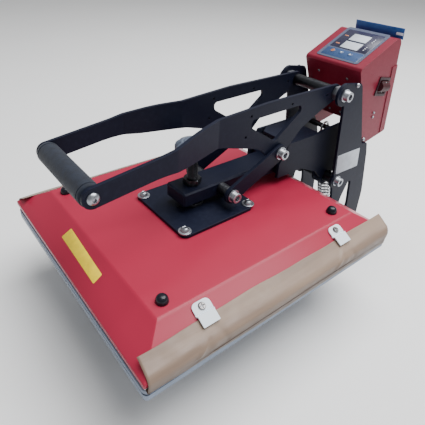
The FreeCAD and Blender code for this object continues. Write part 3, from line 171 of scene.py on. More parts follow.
@dataclass(frozen=True)
class Face:
    """A flat face of the machine, on which thin pieces are laid out by (across, up) places."""

    origin: Spot
    across: Spot
    up: Spot

    def point(self, across: float, up: float, lift: float) -> Vector:
        """A point on the face, or lifted off it, in the model's metres.

        Args:
            across: Distance across the face, in millimetres.
            up: Distance up it.
            lift: Height off it.

        Returns:
            The point.
        """
        first, second = Vector(self.across).normalized(), Vector(self.up).normalized()
        offset = first * across + second * up + first.cross(second) * lift
        return at(*self.origin) + offset * MM

    def normal_axis(self, across: float, up: float, lift: float = 0.0) -> Axis:
        """The axis that stands on the face at a place.

        Args:
            across: Distance across the face, in millimetres.
            up: Distance up it.
            lift: Height of the axis's start off the face.

        Returns:
            The axis, pointing out of the face.
        """
        first, second = Vector(self.across).normalized(), Vector(self.up).normalized()
        out = first.cross(second)
        origin = Vector(self.origin) + first * across + second * up + out * lift
        return Axis(tuple(origin), tuple(out))


class Forge:
    """Makes meshes: skinned rings, turned pieces, flat plates and eased copies of the solids."""

    @staticmethod
    def shape(name: str, points: Sequence[Vector], faces: Sequence[Sequence[int]], sharp: float) -> Shape:
        """A mesh object from points and faces, smooth apart from its sharp edges.

        Args:
            name: The piece's name.
            points: Points in the model's metres.
            faces: Lists of point numbers.
            sharp: Edges that turn by more than this many degrees stay sharp.

        Returns:
            The object, linked to the scene.
        """
        mesh = bpy.data.meshes.new(name)
        mesh.from_pydata([tuple(point) for point in points], [], [tuple(face) for face in faces])
        shape = bpy.data.objects.new(name, mesh)
        bpy.context.scene.collection.objects.link(shape)
        Forge.settle(mesh, sharp)
        return shape

    @staticmethod
    def settle(mesh: bpy.types.Mesh, sharp: float) -> None:
        """Merge doubled points, turn the faces outward and smooth what isn't sharp.

        Args:
            mesh: The mesh, changed in place.
            sharp: Angle above which edges stay sharp, in degrees.
        """
        work = bmesh.new()
        work.from_mesh(mesh)
        bmesh.ops.remove_doubles(work, verts=work.verts, dist=1e-6)
        bmesh.ops.recalc_face_normals(work, faces=work.faces)
        work.to_mesh(mesh)
        work.free()
        mesh.shade_smooth()
        mesh.set_sharp_from_angle(angle=math.radians(sharp))

    @staticmethod
    def skin(
        name: str, rings: Sequence[Sequence[Vector]], sharp: float = 40, closed: bool = True,
    ) -> Shape:
        """A skin over rings of points, with a face across each end.

        Args:
            name: The piece's name.
            rings: Rings with the same number of points each.
            sharp: Angle above which edges stay sharp, in degrees.
            closed: Whether the last point of a ring joins the first and the ends are filled.

        Returns:
            The object.
        """
        count = len(rings[0])
        points = [point for ring in rings for point in ring]
        faces: list[list[int]] = []
        for level in range(len(rings) - 1):
            low, high = level * count, (level + 1) * count
            for index in range(count if closed else count - 1):
                following = (index + 1) % count
                faces.append([low + index, low + following, high + following, high + index])
        if closed:
            faces.append(list(range(count)))
            faces.append(list(range((len(rings) - 1) * count, len(rings) * count)))
        return Forge.shape(name, points, faces, sharp)

    @staticmethod
    def turned(name: str, axis: Axis, rings: Sequence[Ring], sides: int = 48, sharp: float = 35) -> Shape:
        """A piece turned about an axis.

        Args:
            name: The piece's name.
            axis: Its axis.
            rings: Its rings from one end to the other.
            sides: Points on each ring.
            sharp: Angle above which edges stay sharp, in degrees.

        Returns:
            The object.
        """
        angles = [2 * math.pi * step / sides for step in range(sides)]
        loops = [[axis.point(ring.reach(a), a, ring.height) for a in angles] for ring in rings]
        return Forge.skin(name, loops, sharp)

    @staticmethod
    def repeated(name: str, axes: Sequence[Axis], rings: Sequence[Ring], sides: int = 48) -> Shape:
        """The same turned piece on several axes, as one object.

        Args:
            name: The object's name.
            axes: The axis of each copy.
            rings: The rings of them all.
            sides: Points on each ring.

        Returns:
            The object.
        """
        return Forge.joined(name, [Forge.turned("copy", axis, rings, sides) for axis in axes])

    @staticmethod
    def arc(before: Place, corner: Place, after: Place, radius: float, steps: int) -> list[Place]:
        """The arc that rounds one corner.

        Args:
            before: A point on the line into the corner.
            corner: The corner.
            after: A point on the line out of it.
            radius: The arc's radius.
            steps: Points on the arc, less one.

        Returns:
            The arc's points.
        """
        here = Vector(corner)
        back, ahead = (Vector(before) - here).normalized(), (Vector(after) - here).normalized()
        half = back.angle(ahead) / 2
        reach = radius / math.tan(half)
        centre = here + (back + ahead).normalized() * (radius / math.sin(half))
        first, last = here + back * reach - centre, here + ahead * reach - centre
        turns = [first.lerp(last, step / steps).normalized() for step in range(steps + 1)]
        return [tuple(centre + turn * radius) for turn in turns]

    @staticmethod
    def rounded(corners: Sequence[Place], radius: float, steps: int = 5) -> list[Place]:
        """The outline through corners, each rounded by an arc of the same radius.

        Args:
            corners: The corners in order.
            radius: Each arc's radius.
            steps: Points on each arc, less one.

        Returns:
            The outline's points.
        """
        outline: list[Place] = []
        for index, corner in enumerate(corners):
            following = corners[(index + 1) % len(corners)]
            outline += Forge.arc(corners[index - 1], corner, following, radius, steps)
        return outline

    @staticmethod
    def rectangle(x0: float, x1: float, y0: float, y1: float, radius: float) -> list[Place]:
        """A rectangle with rounded corners."""
        return Forge.rounded([(x0, y0), (x1, y0), (x1, y1), (x0, y1)], radius)

    @staticmethod
    def plate(
        name: str, face: Face, outline: Sequence[Place], low: float, high: float, ease: float,
    ) -> Shape:
        """A thin plate on a flat face, with its upper edge eased.

        Args:
            name: The piece's name.
            face: The face on which it lies.
            outline: Its outline as (across, up) places.
            low: Its underside's height off the face.
            high: Its top's height off the face.
            ease: How far the upper edge is chamfered.

        Returns:
            The object.
        """
        middle = sum((Vector(place) for place in outline), Vector((0, 0))) / len(outline)
        inner = [tuple(Vector(p) + (middle - Vector(p)).normalized() * ease) for p in outline]
        rings = [
            [face.point(a, b, low) for a, b in outline],
            [face.point(a, b, high - ease) for a, b in outline],
            [face.point(a, b, high) for a, b in inner],
        ]
        return Forge.skin(name, rings, sharp=50)

    @staticmethod
    def eased(node: str, width: float, limit: float = 40, segments: int = 2) -> Shape:
        """A copy of a solid's mesh with its sharp edges rounded off.

        Args:
            node: The solid's name.
            width: Width of the rounding, in millimetres.
            limit: Edges that turn by less than this many degrees stay as they are.
            segments: Faces across each rounding.

        Returns:
            The copy as an object of its own.
        """
        mesh = frame["nodes"][node].data.copy()
        mesh.name = node + "_form"
        for layer in [a for a in mesh.attributes if a.name == "custom_normal"]:
            mesh.attributes.remove(layer)
        work = bmesh.new()
        work.from_mesh(mesh)
        bmesh.ops.remove_doubles(work, verts=work.verts, dist=2e-6)
        bmesh.ops.dissolve_limit(work, angle_limit=math.radians(0.6), verts=work.verts, edges=work.edges)
        bmesh.ops.recalc_face_normals(work, faces=work.faces)
        work.to_mesh(mesh)
        work.free()
        mesh.materials.clear()
        shape = bpy.data.objects.new(node + "_form", mesh)
        bpy.context.scene.collection.objects.link(shape)
        mesh.shade_smooth()
        mesh.set_sharp_from_angle(angle=math.radians(30))
        edge = shape.modifiers.new("eased_edges", "BEVEL")
        edge.width = width * MM
        edge.segments = segments
        edge.limit_method = "ANGLE"
        edge.angle_limit = math.radians(limit)
        edge.harden_normals = True
        return shape

    @staticmethod
    def joined(name: str, shapes: Sequence[Shape]) -> Shape:
        """Several mesh objects with no modifiers as one object.

        Args:
            name: The new object's name.
            shapes: The objects, which are taken up by it.

        Returns:
            The new object.
        """
        work = bmesh.new()
        for shape in shapes:
            work.from_mesh(shape.data)
        mesh = bpy.data.meshes.new(name)
        work.to_mesh(mesh)
        work.free()
        for shape in shapes:
            bpy.data.objects.remove(shape)
        joined = bpy.data.objects.new(name, mesh)
        bpy.context.scene.collection.objects.link(joined)
        return joined


class Graph:
    """A material's node tree, with short calls for the nodes that the finishes use."""

    def __init__(self, name: str) -> None:
        """Start a material of that name with its principled shader.

        Args:
            name: The material's name.
        """
        self.material = bpy.data.materials.new(name)
        self.material.use_nodes = True
        self.nodes = self.material.node_tree.nodes
        self.links = self.material.node_tree.links
        self.shader = self.nodes["Principled BSDF"]
        self.place = self.nodes.new("ShaderNodeTexCoord").outputs["Object"]

    def set(self, **sockets: object) -> None:
        """Set sockets of the shader, with spaces in their names written as underscores."""
        for name, value in sockets.items():
            self.shader.inputs[name.replace("_", " ")].default_value = value

    def wire(self, source: Socket, target: str) -> None:
        """Link an output to the shader's socket of that name."""
        self.links.new(source, self.shader.inputs[target])

    def stretched(self, x: float, y: float, z: float) -> Socket:
        """The object's coordinates, stretched along each axis.

        Args:
            x: Scale along X.
            y: Scale along Y.
            z: Scale along Z.

        Returns:
            The coordinates.
        """
        mapping = self.nodes.new("ShaderNodeMapping")
        mapping.inputs["Scale"].default_value = (x, y, z)
        self.links.new(self.place, mapping.inputs["Vector"])
        return mapping.outputs["Vector"]

    def noise(self, per_metre: float, detail: float = 3, place: Socket | None = None) -> Socket:
        """A noise of so many grains a metre.

        Args:
            per_metre: Grains in each metre.
            detail: Finer layers of the noise.
            place: Coordinates, or None for the object's own.

        Returns:
            The noise's factor.
        """
        node = self.nodes.new("ShaderNodeTexNoise")
        node.inputs["Scale"].default_value = per_metre
        node.inputs["Detail"].default_value = detail
        self.links.new(place or self.place, node.inputs["Vector"])
        return node.outputs["Factor"] if "Factor" in node.outputs else node.outputs["Fac"]

    def spread(
        self, source: Socket, low: float, high: float, start: float = 0.3, end: float = 0.7,
    ) -> Socket:
        """Map a factor's range onto another one.

        Args:
            source: The factor.
            low: Value at the start of the range.
            high: Value at its end.
            start: Where the range starts.
            end: Where it ends.

        Returns:
            The mapped value.
        """
        node = self.nodes.new("ShaderNodeMapRange")
        for name, value in (("From Min", start), ("From Max", end), ("To Min", low), ("To Max", high)):
            node.inputs[name].default_value = value
        self.links.new(source, node.inputs["Value"])
        return node.outputs["Result"]

    def mixed(self, factor: Socket, first: Colour | Socket, second: Colour) -> Socket:
        """Mix two colours.

        Args:
            factor: Share of the second colour.
            first: The first colour, or an output that gives it.
            second: The second colour.

        Returns:
            The mixed colour.
        """
        node = self.nodes.new("ShaderNodeMix")
        node.data_type = "RGBA"
        self.links.new(factor, node.inputs[0])
        if isinstance(first, tuple):
            node.inputs[6].default_value = (*first, 1)
        else:
            self.links.new(first, node.inputs[6])
        node.inputs[7].default_value = (*second, 1)
        return node.outputs[2]

    def edges(self, low: float, high: float) -> Socket:
        """A mask of the convex edges."""
        shape = self.nodes.new("ShaderNodeNewGeometry")
        return self.spread(shape.outputs["Pointiness"], 0, 1, low, high)

    def bump(
        self, height: Socket, strength: float, depth: float, under: Socket | None = None,
    ) -> Socket:
        """A relief on the surface.

        Args:
            height: The relief's height, from 0 to 1.
            strength: Its strength.
            depth: Its depth, in millimetres.
            under: A relief that lies under this one.

        Returns:
            The normal.
        """
        node = self.nodes.new("ShaderNodeBump")
        node.inputs["Strength"].default_value = strength
        node.inputs["Distance"].default_value = depth * MM
        self.links.new(height, node.inputs["Height"])
        if under is not None:
            self.links.new(under, node.inputs["Normal"])
        self.wire(node.outputs["Normal"], "Normal")
        return node.outputs["Normal"]

    def bands(self, per_metre: float, axis: str) -> Socket:
        """Fine parallel bands across an axis.

        Args:
            per_metre: The wave's scale.
            axis: Direction across the bands, as the node names it.

        Returns:
            The bands' factor.
        """
        node = self.nodes.new("ShaderNodeTexWave")
        node.bands_direction = axis
        node.inputs["Scale"].default_value = per_metre
        self.links.new(self.place, node.inputs["Vector"])
        return node.outputs["Fac"]

    def product(self, first: Socket, second: Socket) -> Socket:
        """Two factors multiplied.

        Args:
            first: The first factor.
            second: The second factor.

        Returns:
            Their product.
        """
        node = self.nodes.new("ShaderNodeMath")
        node.operation = "MULTIPLY"
        self.links.new(first, node.inputs[0])
        self.links.new(second, node.inputs[1])
        return node.outputs[0]

    def mottle(self, per_metre: float, detail: float, share: float, first: Colour, second: Colour) -> None:
        """Colour the shader in clouds of two colours."""
        clouds = self.spread(self.noise(per_metre, detail), 0, share)
        self.wire(self.mixed(clouds, first, second), "Base Color")

    def dull(self, per_metre: float, detail: float, low: float, high: float) -> None:
        """Vary the shader's roughness in patches."""
        self.wire(self.spread(self.noise(per_metre, detail), low, high), "Roughness")


@dataclass(frozen=True)
class Finish:
    """A finish of this machine, made as a material once."""

    name: str
    colour: Colour

    @cache
    def material(self) -> bpy.types.Material:
        """The finish as a material.

        Returns:
            The material, the same one at each call.
        """
        graph = Graph(self.name)
        self.dress(graph)
        return graph.material

    def dress(self, graph: Graph) -> None:
        """Set up the shader, in the way of each kind of finish."""
        raise NotImplementedError


@dataclass(frozen=True)
class PowderCoat(Finish):
    """Satin powder coat with a fine orange peel, and convex edges in a tone of their own: partly rubbed
    wear, partly a painted edge highlight.
    """

    deep: Colour
    # Tone of the convex edges: partly rubbed wear, partly a painted edge highlight.
    edge_wear_and_highlight: Colour
    roughness: float
    peel: float = 0.25
    rub: float = 0.25
    gloss: float = 0.22

    def dress(self, graph: Graph) -> None:
        """Set up clouds, worn edges with a painted edge highlight, sheen and peel.

        Args:
            graph: The node tree to fill.
        """
        clouds = graph.mixed(graph.spread(graph.noise(9, 3), 0, 1, 0.1, 0.9), self.colour, self.deep)
        # Convex edges broken by noise take the edge tone: partly wear, partly painted highlight along the
        # edges.
        wear = graph.spread(graph.noise(160, 5), 0, self.rub, 0.45, 0.75)
        worn = graph.product(graph.edges(0.52, 0.6), wear)
        graph.wire(graph.mixed(worn, clouds, self.edge_wear_and_highlight), "Base Color")
        low, high = self.roughness - 0.015, self.roughness + 0.03
        graph.wire(graph.spread(graph.noise(30, 2), low, high, 0.1, 0.9), "Roughness")
        graph.bump(graph.noise(900, 2), self.peel, 0.08)
        graph.set(Specular_IOR_Level=self.gloss)


@dataclass(frozen=True)
class PlatedSteel(Finish):
    """Bright plated or ground steel with fine turning marks and faint stains."""

    stain: Colour
    roughness: float

    def dress(self, graph: Graph) -> None:
        """Set up stains, uneven shine and turning marks.

        Args:
            graph: The node tree to fill.
        """
        graph.mottle(120, 5, 0.6, self.colour, self.stain)
        graph.dull(300, 4, self.roughness - 0.07, self.roughness + 0.12)
        graph.bump(graph.noise(1800, 2), 0.1, 0.05)
        graph.set(Metallic=1.0)


@dataclass(frozen=True)
class MilledAluminium(Finish):
    """Milled or cast aluminium with fine tool marks along X."""

    roughness: float = 0.38

    def dress(self, graph: Graph) -> None:
        """Set up dull patches and tool marks.

        Args:
            graph: The node tree to fill.
        """
        graph.mottle(25, 5, 1, self.colour, tuple(c * 0.78 for c in self.colour))
        lines = graph.noise(90, 3, graph.stretched(0.4, 12, 12))
        graph.wire(graph.spread(lines, self.roughness - 0.08, self.roughness + 0.1), "Roughness")
        graph.bump(lines, 0.2, 0.06)
        graph.set(Metallic=0.85)


@dataclass(frozen=True)
class Moulded(Finish):
    """Moulded plastic or rubber with a fine grain."""

    roughness: float = 0.5
    grain: float = 0.2
    grains: float = 900.0

    def dress(self, graph: Graph) -> None:
        """Set up paler clouds, uneven shine and grain.

        Args:
            graph: The node tree to fill.
        """
        graph.mottle(60, 4, 0.7, self.colour, tuple(min(1.0, c * 1.35 + 0.004) for c in self.colour))
        graph.dull(150, 3, self.roughness - 0.05, self.roughness + 0.08)
        graph.bump(graph.noise(self.grains, 3), self.grain, 0.1)
        graph.set(Specular_IOR_Level=0.35)


@dataclass(frozen=True)
class Foam(Finish):
    """Closed-cell foam rubber: open pores and a dull, slightly dusty skin."""

    dust: Colour

    def dress(self, graph: Graph) -> None:
        """Set up dust, a dull skin and pores.

        Args:
            graph: The node tree to fill.
        """
        pores = graph.nodes.new("ShaderNodeTexVoronoi")
        pores.inputs["Scale"].default_value = 620
        graph.links.new(graph.place, pores.inputs["Vector"])
        graph.mottle(140, 5, 0.8, self.colour, self.dust)
        graph.dull(90, 3, 0.62, 0.78)
        graph.bump(pores.outputs["Distance"], 0.35, 0.35)
        graph.set(Sheen_Weight=0.12, Sheen_Roughness=0.5, Specular_IOR_Level=0.3)


@dataclass(frozen=True)
class CoatedCloth(Finish):
    """Coated glass cloth: a plain weave under a slightly shiny coat, streaked, and darkened low down by
    painted shade.
    """

    streak: Colour
    # Heights, in metres, over which the cloth darkens downward: painted shade on the hanging lower band.
    painted_shade_band: Place = (0.128, 0.139)

    def dress(self, graph: Graph) -> None:
        """Set up streaks, the browned band, weave and creases.

        Args:
            Set up streaks, the band of painted shade low down, weave and creases.
        """
        streaks = graph.spread(graph.noise(14, 5, graph.stretched(3.2, 0.35, 3.2)), 0, 1, 0.38, 0.66)
        split = graph.nodes.new("ShaderNodeSeparateXYZ")
        graph.links.new(graph.place, split.inputs[0])
        # Painted shade: below these heights the colour turns to a darker tone.
        painted_shade_band = graph.spread(split.outputs["Z"], 1, 0, *self.painted_shade_band)
        dark = tuple(c * 0.6 for c in self.streak)
        graph.wire(graph.mixed(painted_shade_band, graph.mixed(streaks, self.colour, self.streak), dark), "Base Color")
        graph.dull(60, 4, 0.4, 0.56)
        weave = graph.product(graph.bands(260, "Y"), graph.bands(260, "DIAGONAL"))
        creases = graph.bump(graph.noise(16, 6, graph.stretched(3, 0.5, 3)), 0.6, 2.2)
        graph.bump(weave, 0.16, 0.12, creases)
        graph.set(Sheen_Weight=0.15, Sheen_Roughness=0.4)


@dataclass(frozen=True)
class PrintedFilm(Finish):
    """Smooth printed film with faint specks and a soft gloss."""

    roughness: float = 0.3
    # Emission that brightens film which is no lamp: painted light.
    painted_glow: float = 0.0

    def dress(self, graph: Graph) -> None:
        """Set up specks, uneven gloss and any painted glow.

        Args:
            graph: The node tree to fill.
        """
        graph.mottle(80, 4, 1, self.colour, tuple(c * 0.82 for c in self.colour))
        graph.dull(200, 3, self.roughness - 0.05, self.roughness + 0.06)
        graph.bump(graph.noise(1500, 2), 0.08, 0.05)
        # Painted glow: the film emits a little light of its own colour.
        if self.painted_glow:
            graph.set(Emission_Color=(*self.colour, 1), Emission_Strength=self.painted_glow)


@dataclass(frozen=True)
class FloorPaint(Finish):
    """A plain pale studio floor."""

    def dress(self, graph: Graph) -> None:
        """Set up faint clouds and a dull skin."""
        graph.mottle(3, 2, 1, self.colour, tuple(c * 0.985 for c in self.colour))
        graph.set(Roughness=0.75)


# The fourth colour of each coat is its edge tone: partly wear, partly painted edge highlight; paler on the
# navy and red coats.
NAVY_PAINT = PowderCoat(
    "navy_powder_coat", tone(18, 22, 40), tone(16, 20, 37), tone(60, 67, 89), 0.46, gloss=0.14,
)
COVER_PAINT = PowderCoat(
    "red_powder_coat", tone(164, 38, 65), tone(161, 37, 63), tone(206, 104, 122), 0.3, 0.1, gloss=0.27,
)
BOX_PAINT = PowderCoat(
    "dark_red_powder_coat", tone(124, 29, 50), tone(120, 28, 48), tone(185, 88, 102), 0.36, 0.14, gloss=0.2,
)
CLIP_PAINT = PowderCoat(
    "white_enamel", tone(236, 245, 252), tone(230, 240, 249), tone(180, 184, 190), 0.3, 0.1,
)
ZINC = PlatedSteel("bright_zinc", (0.43, 0.45, 0.49), (0.3, 0.31, 0.34), 0.33)
GROUND_STEEL = PlatedSteel("blued_shaft_steel", (0.12, 0.125, 0.14), (0.07, 0.07, 0.08), 0.34)
DULL_NICKEL = PlatedSteel("dull_nickel", (0.27, 0.26, 0.26), (0.15, 0.14, 0.14), 0.3)
BLACK_OXIDE = PlatedSteel("black_oxide_steel", (0.055, 0.058, 0.066), (0.03, 0.03, 0.034), 0.36)
SPRING_WIRE = PlatedSteel("spring_wire_steel", (0.68, 0.69, 0.71), (0.4, 0.4, 0.42), 0.26)
HEATER_SHEATH = PlatedSteel("oxidised_sheath", (0.3, 0.29, 0.28), (0.16, 0.13, 0.11), 0.5)
PLATEN_METAL = MilledAluminium("cast_aluminium", (0.76, 0.77, 0.79))
LOWER_METAL = MilledAluminium("milled_aluminium", (0.2, 0.24, 0.31))
SILICONE = Moulded("grey_silicone", tone(116, 126, 144), 0.6, 0.1, 500)
FOOT_RUBBER = Moulded("black_rubber", tone(30, 30, 33), 0.7, 0.3, 700)
CAP_PLASTIC = Moulded("black_cap_plastic", tone(17, 18, 28), 0.25, 0.05)
KNOB_PLASTIC = Moulded("grey_knob_plastic", tone(84, 92, 106), 0.45, 0.25)
END_PLASTIC = Moulded("black_end_plastic", tone(26, 26, 29), 0.5)
SWITCH_PLASTIC = Moulded("dark_switch_plastic", tone(46, 20, 29), 0.45, 0.1)
ROCKER_PLASTIC = Moulded("dark_red_rocker_plastic", tone(54, 12, 20), 0.5, 0.04)
INLET_PLASTIC = Moulded("black_inlet_plastic", tone(24, 24, 27), 0.45)
PHENOLIC = Moulded("brown_phenolic", tone(66, 46, 36), 0.5)
BOARD = Moulded("green_laminate", tone(30, 92, 58), 0.4, 0.05)
GRIP_FOAM = Foam("foam_rubber", tone(16, 22, 35), tone(27, 36, 52))
CLOTH = CoatedCloth("coated_glass_cloth", tone(146, 125, 108), tone(126, 106, 92))
MAT_FIBRE = CoatedCloth("fibre_blanket", tone(228, 222, 205), tone(210, 202, 182))
FILM_BORDER = PrintedFilm("border_film", tone(80, 88, 112))
FILM_DARK = PrintedFilm("dark_film", tone(48, 48, 74))
FILM_BLUE = PrintedFilm("blue_band_film", tone(48, 76, 120))
KEY_WHITE = PrintedFilm("white_key_mark", tone(225, 230, 238), 0.35)
KEY_ORANGE = PrintedFilm("orange_key_mark", tone(205, 130, 92), 0.35)
# The pale display panes glow a little: painted light, not a lit display.
DISPLAY_PALE = PrintedFilm("pale_display", tone(204, 212, 222), 0.18, 0.25)
DISPLAY_RIM = PrintedFilm("display_rim", tone(38, 44, 58), 0.25)
LABEL_PALE = PrintedFilm("pale_label", tone(196, 204, 214), 0.45)
LABEL_YELLOW = PrintedFilm("yellow_label", tone(255, 222, 30), 0.4)
BLUE_TAPE = PrintedFilm("blue_protective_film", tone(16, 84, 160), 0.35)
WHITE_TAPE = PrintedFilm("white_film_patch", tone(226, 232, 244), 0.3)
FLOOR = FloorPaint("pale_floor", (0.93, 0.935, 0.94))

SLOT_FINISHES: dict[str, Finish] = {
    "frame_paint": NAVY_PAINT,
    "cover_paint": COVER_PAINT,
    "box_paint": BOX_PAINT,
    "bolt_steel": ZINC,
    "shaft_steel": GROUND_STEEL,
    "black_oxide_steel": BLACK_OXIDE,
    "spring_steel": SPRING_WIRE,
    "platen_aluminium": PLATEN_METAL,
    "lower_aluminium": LOWER_METAL,
    "silicone": SILICONE,
    "foot_rubber": FOOT_RUBBER,
    "cap_plastic": CAP_PLASTIC,
    "knob_plastic": KNOB_PLASTIC,
    "end_cap_plastic": END_PLASTIC,
    "grip_foam": GRIP_FOAM,
    "release_cloth": CLOTH,
    "clip_paint": CLIP_PAINT,
    "mat_fibre": MAT_FIBRE,
    "heater_steel": HEATER_SHEATH,
    "cutout_plastic": PHENOLIC,
    "panel_film": FILM_BORDER,
    "window_glass": DISPLAY_PALE,
    "board_laminate": BOARD,
    "key_film": KEY_WHITE,
    "switch_body": SWITCH_PLASTIC,
    "rocker_red": ROCKER_PLASTIC,
    "inlet_plastic": INLET_PLASTIC,
}


class Fitter:
    """Puts pieces on their bodies with their finishes, and reports them."""

    def __init__(self) -> None:
        """Read each solid's material slot and body from the record."""
        record = frame["record"]
        self.slots = {part["node"]: part["material_slot"] for part in record["subparts"]}
        bodies = record["behaviour"]["bodies"]
        self.bodies = {node: body for body, nodes in bodies.items() for node in nodes}

    def fit(
        self, shape: Shape, body: str, slot: str, replaced: Sequence[str] = (),
        finish: Finish | None = None,
    ) -> Shape:
        """Fit one piece.

        Args:
            shape: The piece.
            body: The body that carries it.
            slot: The record's material slot of its finish.
            replaced: Solids for which it stands.
            finish: Its finish, or None for the slot's own.

        Returns:
            The piece.
        """
        shape.data.materials.clear()
        shape.data.materials.append((finish or SLOT_FINISHES[slot]).material())
        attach(shape, body)
        if replaced:
            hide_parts(*replaced)
        LOG.info("piece %s on %s", shape.name, body)
        return shape

    def stand_for(self, shape: Shape, node: str, finish: Finish | None = None) -> Shape:
        """Fit a piece in place of one solid, on its body and with its slot."""
        return self.fit(shape, self.bodies[node], self.slots[node], [node], finish)

    def ease(self, widths: dict[str, float], limit: float = 40) -> None:
        """Replace solids by copies with eased edges, by name and width in millimetres."""
        for node, width in widths.items():
            self.stand_for(Forge.eased(node, width, limit), node)

    def dress_solids(self) -> None:
        """Give every solid the finish of its slot."""
        for node, shape in frame["nodes"].items():
            material = SLOT_FINISHES[self.slots[node]].material()
            if not shape.material_slots:
                shape.data.materials.append(material)
            for place in shape.material_slots:
                place.material = material


def side_axes(x: float, *places: Place) -> list[Axis]:
    """The axes along X, outward from each (y, z) place, on the left and then on the right."""
    return [Axis((side * x, *place), (side, 0, 0)) for place in places for side in BOTH_SIDES]


def upright_axes(x: float, z: float, *places: float) -> list[Axis]:
    """The axes straight up at each y, on the left and then on the right."""
    return [Axis((side * x, y, z), (0, 0, 1)) for y in places for side in BOTH_SIDES]


@dataclass
class SocketBolt:
    """A socket head bolt on a plain washer."""

    washer: float = 10.0
    washer_height: float = 2.0
    head: float = 8.0
    head_height: float = 8.0
    socket: float = 4.6
    socket_depth: float = 5.0

    def rings(self) -> list[Ring]:
        """Rings from the washer's seat to the bottom of the socket.

        Returns:
            The bolt's rings.
        """
        top = self.washer_height + self.head_height
        return [
            Ring(self.washer, 0), Ring(self.washer, self.washer_height - 0.4),
            Ring(self.washer - 0.4, self.washer_height), Ring(self.head + 0.2, self.washer_height),
            Ring(self.head, self.washer_height + 0.3), Ring(self.head, top - 1.0),
            Ring(self.head - 0.3, top - 0.35), Ring(self.head - 1.0, top),
            Ring(self.socket + 0.5, top), Ring(self.socket, top - 0.4, Outline.HEXAGON),
            Ring(self.socket, top - self.socket_depth, Outline.HEXAGON),
        ]


@dataclass
class DomedBolt:
    """A low domed bolt with a small socket on a broad washer."""

    washer: float = 9.5
    washer_height: float = 1.6
    head: float = 6.25
    head_height: float = 5.0
    socket: float = 2.6

    def rings(self) -> list[Ring]:
        """Rings from the washer's seat to the bottom of the socket.

        Returns:
            The bolt's rings.
        """
        rings = [
            Ring(self.washer, 0), Ring(self.washer, self.washer_height - 0.4),
            Ring(self.washer - 0.5, self.washer_height), Ring(self.head, self.washer_height),
        ]
        for share in (0.15, 0.4, 0.62, 0.8, 0.92, 1.0):
            width = self.head - (self.head - self.socket - 0.5) * share ** 2.2
            rings.append(Ring(width, self.washer_height + self.head_height * share))
        top = self.washer_height + self.head_height
        rings.append(Ring(self.socket, top - 0.3, Outline.HEXAGON))
        rings.append(Ring(self.socket, top - 2.4, Outline.HEXAGON))
        return rings


@dataclass
class CrossScrew:
    """A small pan head screw with a cross recess."""

    head: float = 3.7
    height: float = 2.3

    def rings(self) -> list[Ring]:
        """Rings from the head's seat to the bottom of the recess.

        Returns:
            The screw's rings.
        """
        rings = [Ring(self.head, 0)]
        for share in (0.3, 0.6, 0.85, 1.0):
            rings.append(Ring(self.head * (1 - 0.26 * share ** 2.6), self.height * share))
        rings.append(Ring(self.head * 0.7, self.height - 0.05, Outline.CROSS))
        rings.append(Ring(self.head * 0.5, self.height * 0.2, Outline.CROSS))
        return rings


@dataclass
class Base:
    """Rails, posts, feet, lower platen and silicone pad."""

    foot_places: Place = (72.0, 543.0)
    foot_x: float = 75.5
    foot_bottom: float = -165.0
    edge_widths: dict[str, float] = field(default_factory=lambda: {
        "base_rail_left": 0.7, "base_rail_right": 0.7, "base_cross_members": 0.7, "rail_end_caps": 0.8,
        "platen_posts": 0.7, "lower_platen": 0.8, "silicone_pad": 1.6,
    })

    def foot_rings(self) -> list[Ring]:
        """Rings of one rubber foot with its tread grooves, from the table up.

        Returns:
            The foot's rings.
        """
        return [
            Ring(5.0, 1.5), Ring(7.0, 1.2), Ring(7.4, 0.2), Ring(11.4, 0.0), Ring(12.0, 0.8),
            Ring(12.6, 4.0), Ring(12.2, 4.5), Ring(12.9, 5.0), Ring(13.7, 10.5), Ring(14.0, 12.0),
        ]

    def build(self, fitter: Fitter) -> None:
        """Build the standing base.

        Args:
            fitter: Puts the pieces on their bodies.
        """
        fitter.ease(self.edge_widths)
        axes = upright_axes(self.foot_x, self.foot_bottom, *self.foot_places)
        feet = Forge.repeated("rubber_feet_turned", axes, self.foot_rings(), 40)
        fitter.stand_for(feet, "rubber_feet")


@dataclass
class Columns:
    """Side columns with their pivots, bolts, bushes and the blank label."""

    handle_pivot: Place = (446.4, 139.5)
    press_pivot: Place = (482.2, -24.5)
    outer_x: float = 60.5
    label_corners: tuple[Place, ...] = ((468.5, 29.0), (533.0, 27.5), (540.0, -11.5), (475.5, -9.5))
    edge_widths: dict[str, float] = field(default_factory=lambda: {
        "column_left": 0.6, "column_right": 0.6, "column_bolts": 0.8, "handle_pivot_bushes": 0.5,
    })

    def build(self, fitter: Fitter) -> None:
        """Build the columns.

        Args:
            fitter: Puts the pieces on their bodies.
        """
        fitter.ease(self.edge_widths)
        axes = side_axes(self.outer_x, self.handle_pivot, self.press_pivot)
        bolts = Forge.repeated("column_pivot_bolts_turned", axes, SocketBolt().rings())
        fitter.stand_for(bolts, "column_pivot_bolts")
        side = Face((self.outer_x, 0, 0), (0, 1, 0), (0, 0, 1))
        label = Forge.plate("column_blank_label", side, Forge.rounded(self.label_corners, 1.5), 0, 0.2, 0.1)
        fitter.fit(label, "base", "panel_film", finish=LABEL_PALE)


